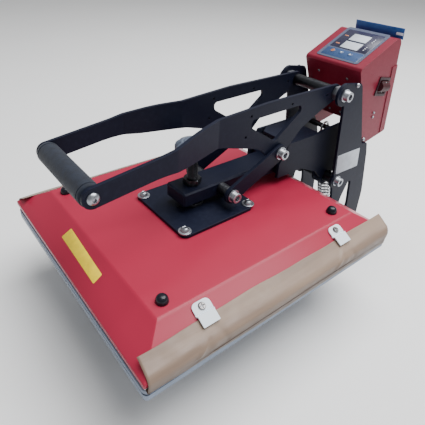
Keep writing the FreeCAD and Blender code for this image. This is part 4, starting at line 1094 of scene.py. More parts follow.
@dataclass
class PressArm:
    """Beam bar, yoke, cross shaft and lift rod."""

    link_foot: Place = (237.7, 27.2)
    lift_rod: Place = (500.0, 55.0)
    bolt_seat_x: float = 49.8
    rod_radius: float = 5.0
    rod_reach: float = 32.0
    hook_groove: float = 14.0
    hook_groove_depth: float = 0.6
    edge_widths: dict[str, float] = field(default_factory=lambda: {
        "press_beam": 0.7, "yoke_cheeks": 0.6, "yoke_web": 0.6,
    })

    def build(self, fitter: Fitter) -> None:
        """Build the pressing arm.

        Args:
            fitter: Puts the pieces on their bodies.
        """
        fitter.ease(self.edge_widths)
        axes = side_axes(self.bolt_seat_x, self.link_foot)
        bolts = Forge.repeated("link_foot_bolts_turned", axes, SocketBolt().rings())
        fitter.stand_for(bolts, "link_foot_bolts")
        r, worn, groove = self.rod_radius, self.rod_radius - self.hook_groove_depth, self.hook_groove
        rings = [
            Ring(r, -self.rod_reach), Ring(r, -groove), Ring(worn, 0.5 - groove),
            Ring(worn, groove - 0.5), Ring(r, groove), Ring(r, self.rod_reach),
        ]
        rod = Forge.turned("lift_rod_turned", Axis((0, *self.lift_rod), (1, 0, 0)), rings, 40)
        fitter.stand_for(rod, "lift_rod")


@dataclass
class Platen:
    """Bevelled cover with the heated platen, mount plate, caps, clips and screws."""

    half_width: float = 200.0
    front: float = -4.0
    rear: float = 429.0
    bevel_run: float = 44.0
    bevel_drop: float = 26.0
    lip_bottom: float = -32.0
    wall: float = 1.2
    cap_x: float = 138.1
    cap_places: Place = (57.9, 359.4)
    cap_radius: float = 8.5
    cap_height: float = 9.5
    mount_bolt_x: float = 54.4
    mount_bolt_places: Place = (148.6, 265.4)
    mount_top: float = 5.0
    clip_places: Place = (92.0, 333.0)
    clip_screw_distance: float = 11.5
    clip_thickness: float = 1.5
    clip_start: float = 4.5
    clip_length: float = 29.5
    clip_width: float = 25.0
    clip_corner: float = 6.5
    clip_levels: tuple[float, ...] = (10.5, 13.0, 13.3, 14.3, 14.6, 15.4, 15.8, 17.0, 20.0, 24.0)
    clip_fold: float = 0.7
    clip_fold_span: Place = (13.2, 14.4)
    clip_step: float = 2.3
    clip_step_span: Place = (14.3, 15.4)
    clip_flap_start: float = 15.7
    clip_flap_inset: float = 0.9
    clip_nip: float = 0.8
    label_corners: tuple[Place, ...] = ((-53.5, 10.7), (52.0, 16.5), (53.0, 31.5), (-54.5, 28.0))
    edge_widths: dict[str, float] = field(default_factory=lambda: {
        "heat_platen": 0.7, "mount_plate": 0.7, "screw_seat": 0.8,
    })

    def plan(self, inset: float, z: float, radius: float) -> list[Vector]:
        """A rounded rectangle round the cover at one level.

        Args:
            inset: Distance in from the lip's outline.
            z: Height of the level.
            radius: Rounding of the corners.

        Returns:
            Points in the model's metres.
        """
        reach = self.half_width - inset
        outline = Forge.rectangle(-reach, reach, self.front + inset, self.rear - inset, radius)
        return [at(x, y, z) for x, y in outline]

    def crown(self, wall: float) -> list[Spot]:
        """Levels of the cover's outside, or of its inside set in by the wall.

        Args:
            wall: How far the levels are set in.

        Returns:
            (inset, height, corner rounding) of each level, lip first.
        """
        run, drop = self.bevel_run, self.bevel_drop
        slope = math.atan2(drop, run)
        lip = [
            (wall, self.lip_bottom, 1.5), (wall, -drop - 1.5 - wall * 0.4, 1.5),
            (wall + 0.35, -drop - 0.25 - wall * 0.7, 1.5), (wall * 0.9 + 1.4, -drop + 0.75 - wall, 1.4),
        ]
        bevel = [
            (share * run + wall * math.sin(slope), share * drop - drop - wall * math.cos(slope), 1.4)
            for share in (0.35, 0.7, 0.94)
        ]
        top = [(run * 0.985 + wall * 0.3, -0.22 - wall, 1.3), (run * 1.04 + wall * 0.3, -wall, 1.2)]
        return lip + bevel + top

    def cover(self) -> Shape:
        """The bent sheet cover with soft creases and an open underside.

        Returns:
            The cover.
        """
        outside = [self.plan(*level) for level in self.crown(0.0)]
        inside = [self.plan(*level) for level in self.crown(self.wall)]
        return Forge.skin("cover_tray_folded", [*reversed(inside), *outside], sharp=50)

    def bevel_axis(self, side: int, y: float, distance: float, lift: float) -> Axis:
        """The axis square to a side bevel, at a distance down it from the crease.

        Args:
            side: 1 for the right bevel, -1 for the left.
            y: Its place along the bevel.
            distance: Distance down the bevel, in millimetres.
            lift: Height of the axis's start off the bevel.

        Returns:
            The axis, pointing out of the bevel.
        """
        slope = math.atan2(self.bevel_drop, self.bevel_run)
        out = (side * math.sin(slope), 0.0, math.cos(slope))
        x = self.half_width - self.bevel_run + distance * math.cos(slope) + lift * math.sin(slope)
        return Axis((side * x, y, -distance * math.sin(slope) + lift * math.cos(slope)), out)

    def clip(self, side: int, y: float) -> Shape:
        """One bent clip: a tab with round corners, a step and a flap over the sheet.

        Args:
            side: 1 for the right bevel, -1 for the left.
            y: Its middle.

        Returns:
            The clip.
        """
        slope = math.atan2(self.bevel_drop, self.bevel_run)
        out = Vector((side * math.sin(slope), 0, math.cos(slope)))
        down = Vector((side * math.cos(slope), 0, -math.sin(slope)))
        crease = Vector((side * (self.half_width - self.bevel_run), y, 0))
        marks = [self.clip_corner * (1 - math.cos(math.pi / 2 * step / 6)) for step in range(7)]
        marks += [*self.clip_levels, self.clip_length - self.clip_nip, self.clip_length]
        rows = []
        for mark in marks:
            width, lift = self.clip_half(mark), self.clip_lift(mark)
            place = crease + down * (self.clip_start + mark) + out * lift
            shares = (-1, -0.9, -0.5, 0, 0.5, 0.9, 1)
            rows.append([at(place.x, place.y + width * share, place.z) for share in shares])
        clip = Forge.skin("clip", rows, sharp=60, closed=False)
        work = bmesh.new()
        work.from_mesh(clip.data)
        bmesh.ops.solidify(work, geom=work.faces[:], thickness=self.clip_thickness * MM)
        low = min((vert.co - at(*crease)).dot(out) for vert in work.verts)
        bmesh.ops.translate(work, vec=out * (0.1 * MM - low), verts=work.verts)
        work.to_mesh(clip.data)
        work.free()
        Forge.settle(clip.data, 50)
        return clip

    def clip_half(self, mark: float) -> float:
        """Half a clip's width at a distance from its upper end.

        Args:
            mark: The distance, in millimetres.

        Returns:
            Half the width there.
        """
        width = self.clip_width / 2
        if mark < self.clip_corner:
            left = self.clip_corner - mark
            return width - self.clip_corner + math.sqrt(max(0.0, self.clip_corner ** 2 - left ** 2))
        if mark > self.clip_flap_start:
            width -= self.clip_flap_inset
        if mark == self.clip_length:
            width -= self.clip_nip
        return width

    def clip_lift(self, mark: float) -> float:
        """How far a clip's middle layer stands off the bevel, at a distance from its upper end.

        Args:
            mark: The distance, in millimetres.

        Returns:
            The height there.
        """
        low, high = self.clip_step_span
        rise = min(1.0, max(0.0, (mark - low) / (high - low)))
        folded = self.clip_fold_span[0] < mark < self.clip_fold_span[1]
        return self.clip_thickness / 2 + self.clip_step * rise - (self.clip_fold if folded else 0.0)

    def cap_rings(self) -> list[Ring]:
        """Rings of one domed cap, a little wider at its foot.

        Returns:
            The cap's rings.
        """
        r, h = self.cap_radius, self.cap_height
        return [
            Ring(r - 0.6, 0), Ring(r - 0.4, 0.6), Ring(r - 0.7, h * 0.25), Ring(r - 1.1, h * 0.48),
            Ring(r - 1.8, h * 0.68), Ring(r - 3.0, h * 0.85), Ring(r - 4.7, h * 0.96), Ring(r - 6.6, h),
        ]

    def build(self, fitter: Fitter) -> None:
        """Build the heated upper part apart from its sheet.

        Args:
            fitter: Puts the pieces on their bodies.
        """
        fitter.stand_for(self.cover(), "cover_tray")
        fitter.ease(self.edge_widths)
        caps = Forge.repeated(
            "corner_caps_turned", upright_axes(self.cap_x, 0, *self.cap_places), self.cap_rings(),
        )
        fitter.stand_for(caps, "corner_caps")
        axes = upright_axes(self.mount_bolt_x, self.mount_top, *self.mount_bolt_places)
        bolts = Forge.repeated("mount_bolts_turned", axes, DomedBolt().rings())
        fitter.stand_for(bolts, "mount_bolts")
        places = [(side, y) for side in BOTH_SIDES for y in self.clip_places]
        clips = [self.clip(side, y) for side, y in places]
        fitter.stand_for(Forge.joined("sheet_clips_bent", clips), "sheet_clips")
        distance, lift = self.clip_screw_distance, self.clip_thickness
        axes = [self.bevel_axis(side, y, distance, lift) for side, y in places]
        screws = Forge.repeated("clip_screws_turned", axes, CrossScrew(5.0, 2.8).rings())
        fitter.stand_for(screws, "clip_screws", DULL_NICKEL)
        slope = math.hypot(self.bevel_run, self.bevel_drop)
        bevel = Face(
            (0, self.front + self.bevel_run, 0), (1, 0, 0),
            (0, self.bevel_run / slope, self.bevel_drop / slope),
        )
        outline = Forge.rounded([(x, -down) for x, down in self.label_corners], 1.5)
        label = Forge.plate("bevel_blank_label", bevel, outline, 0, 0.2, 0.1)
        fitter.fit(label, "platen", "panel_film", finish=LABEL_YELLOW)


@dataclass
class ReleaseSheet:
    """The tan sheet that wraps the platen from one bevel to the other, and hangs loose at its sides."""

    front: float = 2.5
    rear: float = 432.0
    half_width: float = 200.0
    bevel_run: float = 44.0
    bevel_drop: float = 26.0
    upper_edge: float = 23.0
    underside: float = -38.4
    hang: Place = (-39.6, -45.0)
    sag: float = 4.5
    slant: Place = (4.0, 14.0)
    thickness: float = 0.35
    stations: int = 140
    clip_places: Place = (92.0, 333.0)
    crease_end: float = 38.0
    crease_fans: tuple[Spot, ...] = ((0.85, 3.4, 2.3), (-0.6, 3.6, -1.5), (0.1, 5.0, 1.1))
    flat_knots: int = 3

    def pinch(self, y: float) -> float:
        """How firmly the clips hold the sheet down at a station, from 0 to 1."""
        return sum(math.exp(-((y - place) / 19.0) ** 2) for place in self.clip_places)

    def crease(self, y: float, along: float) -> float:
        """Height of the creases that fan out below the clips.

        Args:
            y: The station.
            along: Distance from the upper edge.

        Returns:
            The height, in millimetres.
        """
        below = max(0.0, min(1.0, (along - 10) / 12))
        height = 0.0
        for place in self.clip_places:
            for lean, width, depth in self.crease_fans:
                height += depth * below * math.exp(-((y - place + lean * (along - 8)) / width) ** 2)
        return height

    def half_section(self, share: float) -> list[Spot]:
        """The right half of the sheet at a station, from its upper edge to the middle of the underside.

        Args:
            share: Place of the station from the front end, 0, to the rear one, 1.

        Returns:
            Points on the drawing's datum.
        """
        y = self.front + (self.rear - self.front) * share
        line = self.smoothed(self.knots(share, self.looseness(share, y)))
        slide = self.slant[0] + (self.slant[1] - self.slant[0]) * share
        points = []
        travelled = 0.0
        for index, (x, z) in enumerate(line):
            if index:
                travelled += math.dist(line[index - 1], line[index])
            rise = self.crease(y, travelled) if travelled < self.crease_end else 0.0
            lean = min(1.0, travelled / 42) ** 1.6
            x += rise * min(1.0, travelled / 30) * 0.7
            z += rise * (1 - min(1.0, travelled / self.crease_end)) * 0.8
            points.append((x, y - slide * lean, z))
        return points

    def looseness(self, share: float, y: float) -> float:
        """How loosely the sheet lies at a station, in millimetres.

        Args:
            share: Place of the station from the front end, 0, to the rear one, 1.
            y: The same place, in millimetres.

        Returns:
            Its looseness.
        """
        waves = 0.9 * math.sin(7.3 * share + 0.6) + 0.5 * math.sin(17.1 * share)
        curl = 1.6 * max(0.0, share - 0.94) / 0.06
        return max(0.3, 1.6 + waves - 1.1 * self.pinch(y)) + curl

    def knots(self, share: float, loose: float) -> list[Place]:
        """Knots of the right half of a section.

        Args:
            share: Place of the station from the front end, 0, to the rear one, 1.
            loose: How loosely the sheet lies there.

        Returns:
            (x, z) places, upper edge first.
        """
        slope = math.atan2(self.bevel_drop, self.bevel_run)
        crest = self.half_width - self.bevel_run
        edge, under = self.half_width, self.underside
        low = self.hang[0] + (self.hang[1] - self.hang[0]) * share - self.sag * math.sin(math.pi * share)
        outer = edge + 2.0 + 0.35 * loose
        start = self.upper_edge + 0.7 * math.sin(11.0 * share + 1.0) + 0.4 * math.sin(29.0 * share)
        bevel = (
            (start, 0.5), (30.0, 0.5 + 0.15 * loose), (38.5, 0.6 + 0.4 * loose), (46.0, 0.8 + 0.7 * loose),
        )
        knots = [
            (
                crest + along * math.cos(slope) + lift * math.sin(slope),
                -along * math.sin(slope) + lift * math.cos(slope),
            )
            for along, lift in bevel
        ]
        return knots + [
            (outer - 1.6, -26.0), (outer - 0.3, -29.5), (outer, -34.5), (outer - 0.1, low + 2.0),
            (outer - 0.7, low), (edge + 1.0, low + 0.3), (edge + 0.5, -38.9), (edge - 1.5, under),
            (edge - 60, under), (edge - 130, under), (0.0, under),
        ]

    def smoothed(self, knots: Sequence[Place]) -> list[Place]:
        """A smooth curve through the knots, with the flat underside left straight.

        Args:
            knots: The knots in order.

        Returns:
            The curve's points.
        """
        line = [knots[0]]
        last = len(knots) - 1
        for index in range(1, last + 1):
            before, here = Vector(knots[max(index - 2, 0)]), Vector(knots[index - 1])
            there, after = Vector(knots[index]), Vector(knots[min(index + 1, last)])
            if index > last - self.flat_knots:
                line.append(tuple(there))
                continue
            turn = 2 * before - 5 * here + 4 * there - after
            bend = 3 * here - before - 3 * there + after
            for step in (0.25, 0.5, 0.75, 1.0):
                curve = 0.5 * (2 * here + (there - before) * step + turn * step ** 2 + bend * step ** 3)
                line.append(tuple(curve))
        return line

    def build(self, fitter: Fitter) -> None:
        """Args:
            fitter: Puts the pieces on their bodies.
        """
        rings = []
        for index in range(self.stations + 1):
            right = self.half_section(index / self.stations)
            left = [(-x, y, z) for x, y, z in right]
            rings.append([at(*point) for point in right[:-1] + left[::-1]])
        sheet = Forge.skin("release_sheet_cloth", rings, sharp=180, closed=False)
        solid = sheet.modifiers.new("cloth_thickness", "SOLIDIFY")
        solid.thickness = self.thickness * MM
        solid.offset = 0
        fitter.stand_for(sheet, "release_sheet")


@dataclass
class Adjuster:
    """The pressure screw with its thread and collar, and the lobed knob."""

    screw_y: float = 200.0
    bottom: float = 10.3
    top: float = 84.0
    radius: float = 8.0
    root: float = 7.1
    pitch: float = 2.0
    sides: int = 36
    turn_levels: int = 6
    collar_z: float = 38.3
    collar_height: float = 9.0
    collar_radius: float = 13.8
    knob_radius: float = 25.0
    knob_height: float = 22.0
    hub_radius: float = 14.0
    hub_height: float = 5.0

    def screw(self) -> Shape:
        """The threaded rod: one helical ridge between plain ends.

        Returns:
            The rod with its collar.
        """
        axis = Axis((0, self.screw_y, 0), (0, 0, 1))
        depth = self.radius - self.root
        count = int((self.top - self.bottom) / self.pitch * self.turn_levels)
        levels: list[list[Vector]] = []
        for level in range(count + 1):
            height = self.bottom + (self.top - self.bottom) * level / count
            cut = min(1.0, (height - self.bottom) / 6) * min(1.0, (self.top - height) / 2)
            loop = []
            for index in range(self.sides):
                angle = 2 * math.pi * index / self.sides
                phase = (height / self.pitch - angle / (2 * math.pi)) % 1.0
                ridge = 1 - abs(2 * phase - 1)
                loop.append(axis.point(self.radius - depth * (1 - ridge) * cut, angle, height))
            levels.append(loop)
        rod = Forge.skin("pressure_rod", levels, sharp=60)
        low, high = self.collar_z, self.collar_z + self.collar_height
        r = self.collar_radius
        rings = [
            Ring(r - 1.6, low), Ring(r, low + 0.9, Outline.HEXAGON), Ring(r, high - 0.9, Outline.HEXAGON),
            Ring(r - 1.6, high), Ring(self.radius, high),
        ]
        return Forge.joined("pressure_screw_threaded", [rod, Forge.turned("collar", axis, rings, 60)])

    def knob(self) -> Shape:
        """The moulded knob with eight lobes and a hub below.

        Returns:
            The knob.
        """
        axis = Axis((0, self.screw_y, self.top), (0, 0, 1))
        r, h, low = self.knob_radius, self.knob_height, self.hub_height
        lobes = Outline.LOBES
        rings = [
            Ring(self.hub_radius, 0), Ring(self.hub_radius, low - 0.6), Ring(self.hub_radius + 0.8, low),
            Ring(r - 2.0, low, lobes), Ring(r - 0.6, low + 0.5, lobes), Ring(r, low + 1.6, lobes),
            Ring(r, low + 8.6, lobes), Ring(r - 0.7, low + 10.6, lobes), Ring(r - 2.6, h - 4.6, lobes),
            Ring(r - 5.6, h - 2.6, lobes), Ring(r - 8.2, h - 1.4), Ring(r - 10.0, h - 0.9),
            Ring(r - 10.8, h - 1.5), Ring(r - 12.4, h - 1.6), Ring(r - 13.2, h - 0.5), Ring(r - 15.0, h),
            Ring(2.0, h),
        ]
        return Forge.turned("pressure_knob_lobed", axis, rings, 128, 40)

    def build(self, fitter: Fitter) -> None:
        """Build the adjuster."""
        fitter.stand_for(self.screw(), "pressure_screw")
        fitter.stand_for(self.knob(), "pressure_knob")


@dataclass
class Handle:
    """The two arms, the foam grip, its end screws and the pivot nuts."""

    grip: Place = (23.5, 111.5)
    grip_radius: float = 14.0
    grip_reach: float = 61.6
    outer_x: float = 67.0
    edge_widths: dict[str, float] = field(default_factory=lambda: {
        "handle_arm_left": 0.6, "handle_arm_right": 0.6, "link_top_nuts": 0.6,
    })

    def foam(self) -> Shape:
        """The foam tube with soft ends and a shallow groove near each.

        Returns:
            The tube.
        """
        r, reach = self.grip_radius, self.grip_reach
        half = [
            (r - 3.2, reach), (r - 1.4, reach - 0.3), (r - 0.4, reach - 1.2), (r, reach - 2.6),
            (r, reach - 5.0), (r - 0.9, reach - 5.5), (r - 0.9, reach - 6.3), (r, reach - 6.8),
            (r, reach - 20),
        ]
        heights = [(radius, -x) for radius, x in half] + [(radius, x) for radius, x in reversed(half)]
        rings = [Ring(radius, height) for radius, height in heights]
        return Forge.turned("handle_grip_foam", Axis((0, *self.grip), (1, 0, 0)), rings, 72, 60)

    def build(self, fitter: Fitter) -> None:
        """Build the handle.

        Args:
            fitter: Puts the pieces on their bodies.
        """
        fitter.ease(self.edge_widths)
        fitter.stand_for(self.foam(), "handle_grip")
        rings = [
            Ring(7.5, 0), Ring(7.5, 0.7), Ring(7.1, 1.4), Ring(6.2, 2.6), Ring(4.8, 3.6), Ring(3.4, 4.2),
            Ring(2.9, 4.3), Ring(2.6, 4.0, Outline.HEXAGON), Ring(2.6, 1.8, Outline.HEXAGON),
        ]
        heads = Forge.repeated("grip_end_screws_domed", side_axes(self.outer_x, self.grip), rings)
        fitter.stand_for(heads, "grip_end_screws")


@dataclass
class Links:
    """The two link plates and the bolts at their upper ends."""

    link_top: Place = (328.8, 69.8)
    seat_x: float = 49.5
    plate_ease: float = 0.6

    def build(self, fitter: Fitter) -> None:
        """Build the links.

        Args:
            fitter: Puts the pieces on their bodies.
        """
        fitter.ease({"links": self.plate_ease})
        axes = side_axes(self.seat_x, self.link_top)
        bolts = Forge.repeated("link_top_bolts_turned", axes, SocketBolt().rings())
        fitter.stand_for(bolts, "link_top_bolts")


@dataclass
class LiftSpring:
    """The extension spring with a hook at each end."""

    anchor: Place = (556.0, -128.0)
    rod: Place = (500.0, 55.0)
    anchor_radius: float = 6.0
    rod_radius: float = 5.0
    play: float = 0.6
    coil_radius: float = 11.5
    wire: float = 4.0
    hook_radius: float = 9.5
    neck: float = 9.0
    pitch: float = 8.0
    wire_sides: int = 10
    turn_steps: int = 28
    open_length: float = 147.2
    lower_hook: range = range(36, -181, -12)
    upper_hook: range = range(180, -61, -12)

    def centreline(self) -> list[Vector]:
        """Points along the wire's middle, lower hook first, before the spring is leaned over.

        Returns:
            Points in the spring's own plane, in millimetres.
        """
        dy, dz = self.rod[0] - self.anchor[0], self.rod[1] - self.anchor[1]
        length = math.hypot(dy, dz)
        bore = self.hook_radius - self.wire / 2 - self.play
        low = bore - self.anchor_radius
        high = length - bore + self.rod_radius
        first, last = low + self.neck, high - self.neck
        turns = round((last - first) / self.pitch)
        count = turns * self.turn_steps
        radius = self.coil_radius
        coil = []
        for step in range(count + 1):
            angle = -math.pi / 2 - 2 * math.pi * step / self.turn_steps
            height = first + (last - first) * step / count
            coil.append(Vector((radius * math.cos(angle), radius * math.sin(angle), height)))
        lower = [self.hook_point(low, math.radians(degrees)) for degrees in self.lower_hook]
        upper = [self.hook_point(high, math.radians(degrees)) for degrees in self.upper_hook]
        return lower + self.bridge(lower[-1], coil[0]) + coil + self.bridge(coil[-1], upper[0]) + upper

    def hook_point(self, centre: float, angle: float) -> Vector:
        """A point round a hook, in the spring's own plane of symmetry."""
        return Vector((0, self.hook_radius * math.cos(angle), centre + self.hook_radius * math.sin(angle)))

    def bridge(self, start: Vector, end: Vector) -> list[Vector]:
        """Points between a hook and the coils."""
        return [start.lerp(end, share) for share in (0.25, 0.5, 0.75)]

    def build(self, fitter: Fitter) -> None:
        """Build the spring as one tube.

        Args:
            fitter: Puts the pieces on their bodies.
        """
        line = self.centreline()
        dy, dz = self.rod[0] - self.anchor[0], self.rod[1] - self.anchor[1]
        lean = Matrix.Rotation(math.atan2(-dy, dz), 3, "X")
        rings = []
        side = Vector((1, 0, 0))
        for index, point in enumerate(line):
            ahead = line[min(index + 1, len(line) - 1)] - line[max(index - 1, 0)]
            tangent = ahead.normalized()
            side = (side - tangent * side.dot(tangent)).normalized()
            up = tangent.cross(side)
            ring = []
            for step in range(self.wire_sides):
                angle = 2 * math.pi * step / self.wire_sides
                offset = side * math.cos(angle) + up * math.sin(angle)
                turned = lean @ (point + offset * (self.wire / 2))
                ring.append(at(turned.x, turned.y + self.anchor[0], turned.z + self.anchor[1]))
            rings.append(ring)
        spring = Forge.skin("lift_spring_coiled", rings, sharp=60)
        fitter.stand_for(spring, "lift_spring")
        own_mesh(spring)


@dataclass
class ControlBox:
    """The tilted control box with its panel, displays, keys, switch and inlet."""

    panel_origin: Spot = (0.0, 484.0, 172.5)
    panel_up: Spot = (0.0, 94.0, 40.5)
    front_knee: Place = (482.6, 168.0)
    front_foot: Place = (525.0, 72.0)
    panel_rear: Place = (578.0, 213.0)
    rear_rounding: float = 12.0
    rear_knee: Place = (585.5, 173.0)
    rear_foot: Place = (609.0, 40.0)
    half_width: float = 55.45
    rear_edge_lift: float = 0.12
    rear_edge_depth: float = 0.5
    overlay_top: float = 0.8
    field_sides: Place = (-35.0, 36.5)
    dark_field: Place = (34.0, 87.5)
    blue_band: Place = (10.0, 31.5)
    field_rounding: float = 2.0
    display_half: float = 16.5
    display_depth: float = 18.5
    display_places: Place = (37.0, 59.5)
    display_rim: float = 1.4
    key_places: Spot = (-20.0, -3.0, 14.0)
    key_line: float = 24.0
    key_travel: float = 0.6
    arrow: Place = (2.3, 3.8)
    lamp_line: float = 26.0
    lamp_places: tuple[float, ...] = (42.0, 46.3, 50.6, 64.5, 68.8, 73.1)
    bar_sides: Place = (-30.5, -23.0)
    bar_places: Place = (44.0, 68.0)
    bar_depth: float = 2.2
    switch: Place = (558.0, 133.0)
    switch_lean: float = 10.0
    inlet_share: float = 0.62
    column_screw: Place = (474.7, 150.4)
    column_face: float = 60.5
    ear_screw: Place = (545.0, 39.0)
    side_screws: tuple[Place, Place] = ((554.3, 87.5), (554.9, 79.5))
    front_screws: tuple[Place, Place] = ((28.8, 19.7), (11.5, 94.0))
    pins: tuple[Place, ...] = ((-6.5, -2.5), (6.5, -2.5), (0.0, 3.5))
    pin_half: Place = (0.9, 2.0)
    film_origin: Spot = (0, 583.0, 205.0)
    film_start: float = -55.0
    film_length: float = 91.5
    film_levels: tuple[float, ...] = (0, 4, 8, 12, 15, 17.0)
    film_stations: int = 28
    film_thickness: float = 0.15
    film_wave: float = 0.5
    film_curl: float = 3.0
    film_width: float = 18.0
    patch_sides: Place = (-54.5, -42.0)
    patch_levels: Place = (6.0, 10.0)
    edge_widths: dict[str, float] = field(default_factory=lambda: {
        "box_housing": 0.9, "box_rear_cover": 0.5, "rocker_housing": 0.6, "rocker": 0.5,
        "power_inlet": 0.6,
    })

    def panel(self) -> Face:
        """The sloping top."""
        return Face(self.panel_origin, (1, 0, 0), self.panel_up)

    def side_face(self) -> Face:
        """The right side, at the switch.

        Returns:
            The face, across it pointing down and back.
        """
        lean = math.radians(self.switch_lean)
        along = (0, math.cos(lean), -math.sin(lean))
        return Face((self.half_width, *self.switch), along, (0, math.sin(lean), math.cos(lean)))

    def front_face(self) -> Face:
        """The face below the panel, from its knee down; up points to the knee."""
        up = (0, self.front_knee[0] - self.front_foot[0], self.front_knee[1] - self.front_foot[1])
        return Face((0, *self.front_knee), (1, 0, 0), up)

    def rear_face(self) -> Face:
        """The rear wall at the inlet, up pointing to the top.

        Returns:
            The face.
        """
        dy, dz = self.rear_foot[0] - self.rear_knee[0], self.rear_foot[1] - self.rear_knee[1]
        origin = (0, self.rear_knee[0] + dy * self.inlet_share, self.rear_knee[1] + dz * self.inlet_share)
        return Face(origin, (-1, 0, 0), (0, -dy, -dz))

    def rear_edge(self, fitter: Fitter) -> None:
        """The folded edge that closes the top of the box over its rounded rear crease.

        Args:
            fitter: Puts the pieces on their bodies.
        """
        before, knee = Vector(self.panel_origin[1:]), Vector(self.rear_knee)
        arc = Forge.arc(before, self.panel_rear, knee, self.rear_rounding, 12)
        bend = [Vector(place) for place in arc]
        lead_in = bend[0] + (before - bend[0]).normalized() * 1.2
        lead_out = bend[-1] + (knee - bend[-1]).normalized() * 4.0
        section = [lead_in, *bend, lead_out]
        middle = Vector(self.panel_rear).lerp(before, 0.3) - Vector((0, 40))
        out = [(point - middle).normalized() for point in section]
        outside = [point + way * self.rear_edge_lift for point, way in zip(section, out)]
        inside = [point - way * self.rear_edge_depth for point, way in zip(section, out)]
        loop = outside + inside[::-1]
        rings = [[at(side * self.half_width, *point) for point in loop] for side in BOTH_SIDES]
        fitter.fit(Forge.skin("box_rear_edge", rings, sharp=40), "base", "box_paint")

    def overlay(self, fitter: Fitter) -> None:
        """The printed overlay: border, dark middle, blue band and pale displays.

        Args:
            fitter: Puts the pieces on their bodies.
        """
        face, top = self.panel(), self.overlay_top
        fitter.stand_for(Forge.eased("panel_overlay", 0.15), "panel_overlay")
        for name, places, height, finish in (
            ("panel_dark_field", self.dark_field, 0.08, FILM_DARK),
            ("panel_blue_band", self.blue_band, 0.06, FILM_BLUE),
        ):
            outline = Forge.rectangle(*self.field_sides, *places, self.field_rounding)
            field_plate = Forge.plate(name, face, outline, top, top + height, 0.03)
            fitter.fit(field_plate, "base", "panel_film", finish=finish)
        half, rim = self.display_half, self.display_rim
        panes = []
        rims = []
        for start in self.display_places:
            end = start + self.display_depth
            outline = Forge.rectangle(-half - rim, half + rim, start - rim, end + rim, 1.2)
            rims.append(Forge.plate("rim", face, outline, top, top + 0.14, 0.05))
            outline = Forge.rectangle(-half, half, start, end, 0.6)
            panes.append(Forge.plate("pane", face, outline, -1.0, top + 0.2, 0.05))
        fitter.fit(Forge.joined("display_rims", rims), "base", "panel_film", finish=DISPLAY_RIM)
        fitter.stand_for(Forge.joined("display_panes", panes), "display_windows")

    def keys(self, fitter: Fitter) -> None:
        """Three key domes, one with a ring on it and two with arrows.

        Args:
            fitter: Puts the pieces on their bodies.
        """
        face, top = self.panel(), self.overlay_top
        dome = [
            Ring(4.4, self.key_travel + 0.06), Ring(4.4, top + 0.35), Ring(4.0, top + 0.55),
            Ring(2.6, top + 0.65), Ring(0.6, top + 0.68),
        ]
        for node, x in zip(("key_set", "key_down", "key_up"), self.key_places):
            piece = Forge.turned(node + "_dome", face.normal_axis(x, self.key_line), dome, 40)
            fitter.stand_for(piece, node, FILM_BLUE)
        ring = [Ring(3.4, top + 0.7), Ring(3.4, top + 0.8), Ring(2.5, top + 0.84), Ring(2.5, top + 0.7)]
        mark = Forge.turned("key_set_mark", face.normal_axis(self.key_places[0], self.key_line), ring, 32)
        fitter.fit(mark, "set_button", "key_film", finish=KEY_ORANGE)
        half, height = self.arrow
        _, down, up = self.key_places
        for body, x, way in (("down_button", down, -1), ("up_button", up, 1)):
            base = self.key_line - 1.6 * way
            corners = [(x - half * way, base), (x + half * way, base), (x, base + height * way)]
            outline = Forge.rounded(corners, 0.3, 2)
            mark = Forge.plate(body + "_mark", face, outline, top + 0.7, top + 0.84, 0.05)
            fitter.fit(mark, body, "key_film", finish=KEY_WHITE)

    def lamps(self, fitter: Fitter) -> None:
        """Small lamps and plain bars beside the displays.

        Args:
            fitter: Puts the pieces on their bodies.
        """
        face, top = self.panel(), self.overlay_top
        lamp = [Ring(1.1, 0), Ring(1.1, 0.3), Ring(0.6, 0.5)]
        axes = [face.normal_axis(self.lamp_line, up, top) for up in self.lamp_places]
        lamps = Forge.repeated("panel_lamps", axes, lamp, 24)
        fitter.fit(lamps, "base", "panel_film", finish=KEY_WHITE)
        bars = []
        for up in self.bar_places:
            outline = Forge.rectangle(*self.bar_sides, up, up + self.bar_depth, 0.5)
            bars.append(Forge.plate("bar", face, outline, top + 0.08, top + 0.16, 0.03))
        fitter.fit(Forge.joined("panel_bars", bars), "base", "panel_film", finish=KEY_ORANGE)

    def screws(self, fitter: Fitter) -> None:
        """Screws on the columns, the ears, the sides and the front face.

        Args:
            fitter: Puts the pieces on their bodies.
        """
        wall = self.half_width
        axes = side_axes(self.column_face, self.column_screw) + side_axes(wall, self.ear_screw)
        large = Forge.repeated("large", axes, CrossScrew(3.7, 2.3).rings(), 40)
        axes = side_axes(wall, *self.side_screws)
        small = Forge.repeated("small", axes, CrossScrew(2.2, 2.3).rings(), 40)
        fitter.stand_for(Forge.joined("box_screws_cross", [large, small]), "box_screws")
        face = self.front_face()
        axes = [face.normal_axis(side * x, -down) for x, down in self.front_screws for side in BOTH_SIDES]
        heads = Forge.repeated("box_front_screws", axes, CrossScrew(2.2, 1.3).rings(), 40)
        fitter.fit(heads, "base", "bolt_steel")

    def switch_marks(self, fitter: Fitter) -> None:
        """The on and off marks on the rocker.

        Args:
            fitter: Puts the pieces on their bodies.
        """
        face = self.side_face()
        bar = Forge.plate("bar", face, Forge.rectangle(-0.5, 0.5, 4.4, 8.4, 0.3), 2.6, 5.1, 0.05)
        ring = [Ring(2.0, 1.2), Ring(2.0, 2.72), Ring(1.3, 2.72), Ring(1.3, 2.3)]
        circle = Forge.turned("ring", face.normal_axis(0, -6.5), ring, 32)
        marks = Forge.joined("rocker_marks", [bar, circle])
        fitter.fit(marks, "rocker_body", "rocker_red", finish=KEY_WHITE)

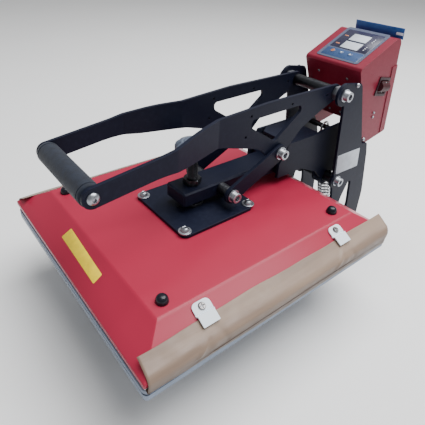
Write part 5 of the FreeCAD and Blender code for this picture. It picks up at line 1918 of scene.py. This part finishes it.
    def inlet_pins(self, fitter: Fitter) -> None:
        """Three flat pins in the power inlet.

        Args:
            fitter: Puts the pieces on their bodies.
        """
        face = self.rear_face()
        width, depth = self.pin_half
        pins = []
        for x, up in self.pins:
            outline = Forge.rectangle(x - width, x + width, up - depth, up + depth, 0.4)
            pins.append(Forge.plate("pin", face, outline, -12.5, -2.0, 0.4))
        fitter.fit(Forge.joined("inlet_pins", pins), "base", "bolt_steel")

    def film_strip(self, fitter: Fitter) -> None:
        """The strip of blue protective film left on the rear top edge, and its pale patch.

        Args:
            fitter: Puts the pieces on their bodies.
        """
        face = Face(self.film_origin, (-1, 0, 0), (0, 0, 1))
        rows = []
        for step in range(self.film_stations + 1):
            x = self.film_start + self.film_length * step / self.film_stations
            lift = self.film_wave * math.sin(step * 0.55) - self.film_curl
            rows.append([face.point(x, up, lift * up / self.film_width) for up in self.film_levels])
        strip = Forge.skin("film_strip_cloth", rows, sharp=180, closed=False)
        solid = strip.modifiers.new("film_thickness", "SOLIDIFY")
        solid.thickness = self.film_thickness * MM
        fitter.fit(strip, "base", "panel_film", finish=BLUE_TAPE)
        outline = Forge.rectangle(*self.patch_sides, *self.patch_levels, 0.8)
        patch = Forge.plate("film_strip_patch", face, outline, -2.6, -2.4, 0.1)
        fitter.fit(patch, "base", "panel_film", finish=WHITE_TAPE)

    def build(self, fitter: Fitter) -> None:
        """Build the control box.

        Args:
            fitter: Puts the pieces on their bodies.
        """
        fitter.ease(self.edge_widths)
        self.rear_edge(fitter)
        self.overlay(fitter)
        self.keys(fitter)
        self.lamps(fitter)
        self.screws(fitter)
        self.switch_marks(fitter)
        self.inlet_pins(fitter)
        self.film_strip(fitter)


@dataclass
class Studio:
    """Pale floor, soft overhead light and the camera, in metres."""

    right: Spot = (0.609605184, 0.792090416, 0.03121366)
    up: Spot = (-0.471522287, 0.330675626, 0.817508631)
    ahead: Spot = (-0.637219156, 0.513075436, -0.575069861)
    eye: Spot = (0.404946, -0.405007, 0.507214)
    lens: float = 33.935
    shift: Place = (0.02075, -0.0032)
    floor_reach: float = 12.0
    backdrop: float = 0.4
    softbox_place: Spot = (0.25, 0.75, 2.3)
    softbox_size: float = 2.2
    softbox_power: float = 120
    middle: Spot = (0, 0, 0.15)

    def camera(self) -> None:
        """Place the camera."""
        data = bpy.data.cameras.new("studio_camera")
        data.sensor_fit = "HORIZONTAL"
        data.sensor_width = 36.0
        data.lens = self.lens
        data.shift_x, data.shift_y = self.shift
        data.clip_start = 0.01
        camera = bpy.data.objects.new("studio_camera", data)
        bpy.context.scene.collection.objects.link(camera)
        back = tuple(-part for part in self.ahead)
        turn = Matrix((self.right, self.up, back)).transposed().to_4x4()
        camera.matrix_world = Matrix.Translation(self.eye) @ turn
        bpy.context.scene.camera = camera

    def softbox(self) -> None:
        """Hang the square soft light over the machine, aimed at its middle."""
        data = bpy.data.lights.new("overhead_softbox", "AREA")
        data.shape = "SQUARE"
        data.size = self.softbox_size
        data.energy = self.softbox_power
        lamp = bpy.data.objects.new("overhead_softbox", data)
        bpy.context.scene.collection.objects.link(lamp)
        lamp.location = self.softbox_place
        aim = Vector(self.middle) - Vector(self.softbox_place)
        lamp.rotation_euler = aim.to_track_quat("-Z", "Y").to_euler()

    def build(self) -> None:
        """Build floor, world, light and camera."""
        reach = self.floor_reach
        corners = ((-reach, -reach), (reach, -reach), (reach, reach), (-reach, reach))
        floor = Forge.shape("studio_floor", [Vector((x, y, 0)) for x, y in corners], [[0, 1, 2, 3]], 30)
        floor.data.materials.append(FLOOR.material())
        world = bpy.data.worlds.new("studio_world")
        world.use_nodes = True
        backdrop = world.node_tree.nodes["Background"]
        backdrop.inputs["Color"].default_value = (1.0, 1.0, 1.0, 1)
        backdrop.inputs["Strength"].default_value = self.backdrop
        bpy.context.scene.world = world
        self.softbox()
        self.camera()


def main() -> None:
    """Build every sub-assembly and the studio."""
    logging.basicConfig(level=logging.INFO, format="%(message)s")
    fitter = Fitter()
    fitter.dress_solids()
    Studio().build()
    for assembly in (
        Base(), Columns(), PressArm(), Platen(), ReleaseSheet(), Adjuster(), Handle(), Links(),
        LiftSpring(), ControlBox(),
    ):
        LOG.info("building %s", type(assembly).__name__)
        assembly.build(fitter)


if __name__ == "__main__":
    main()
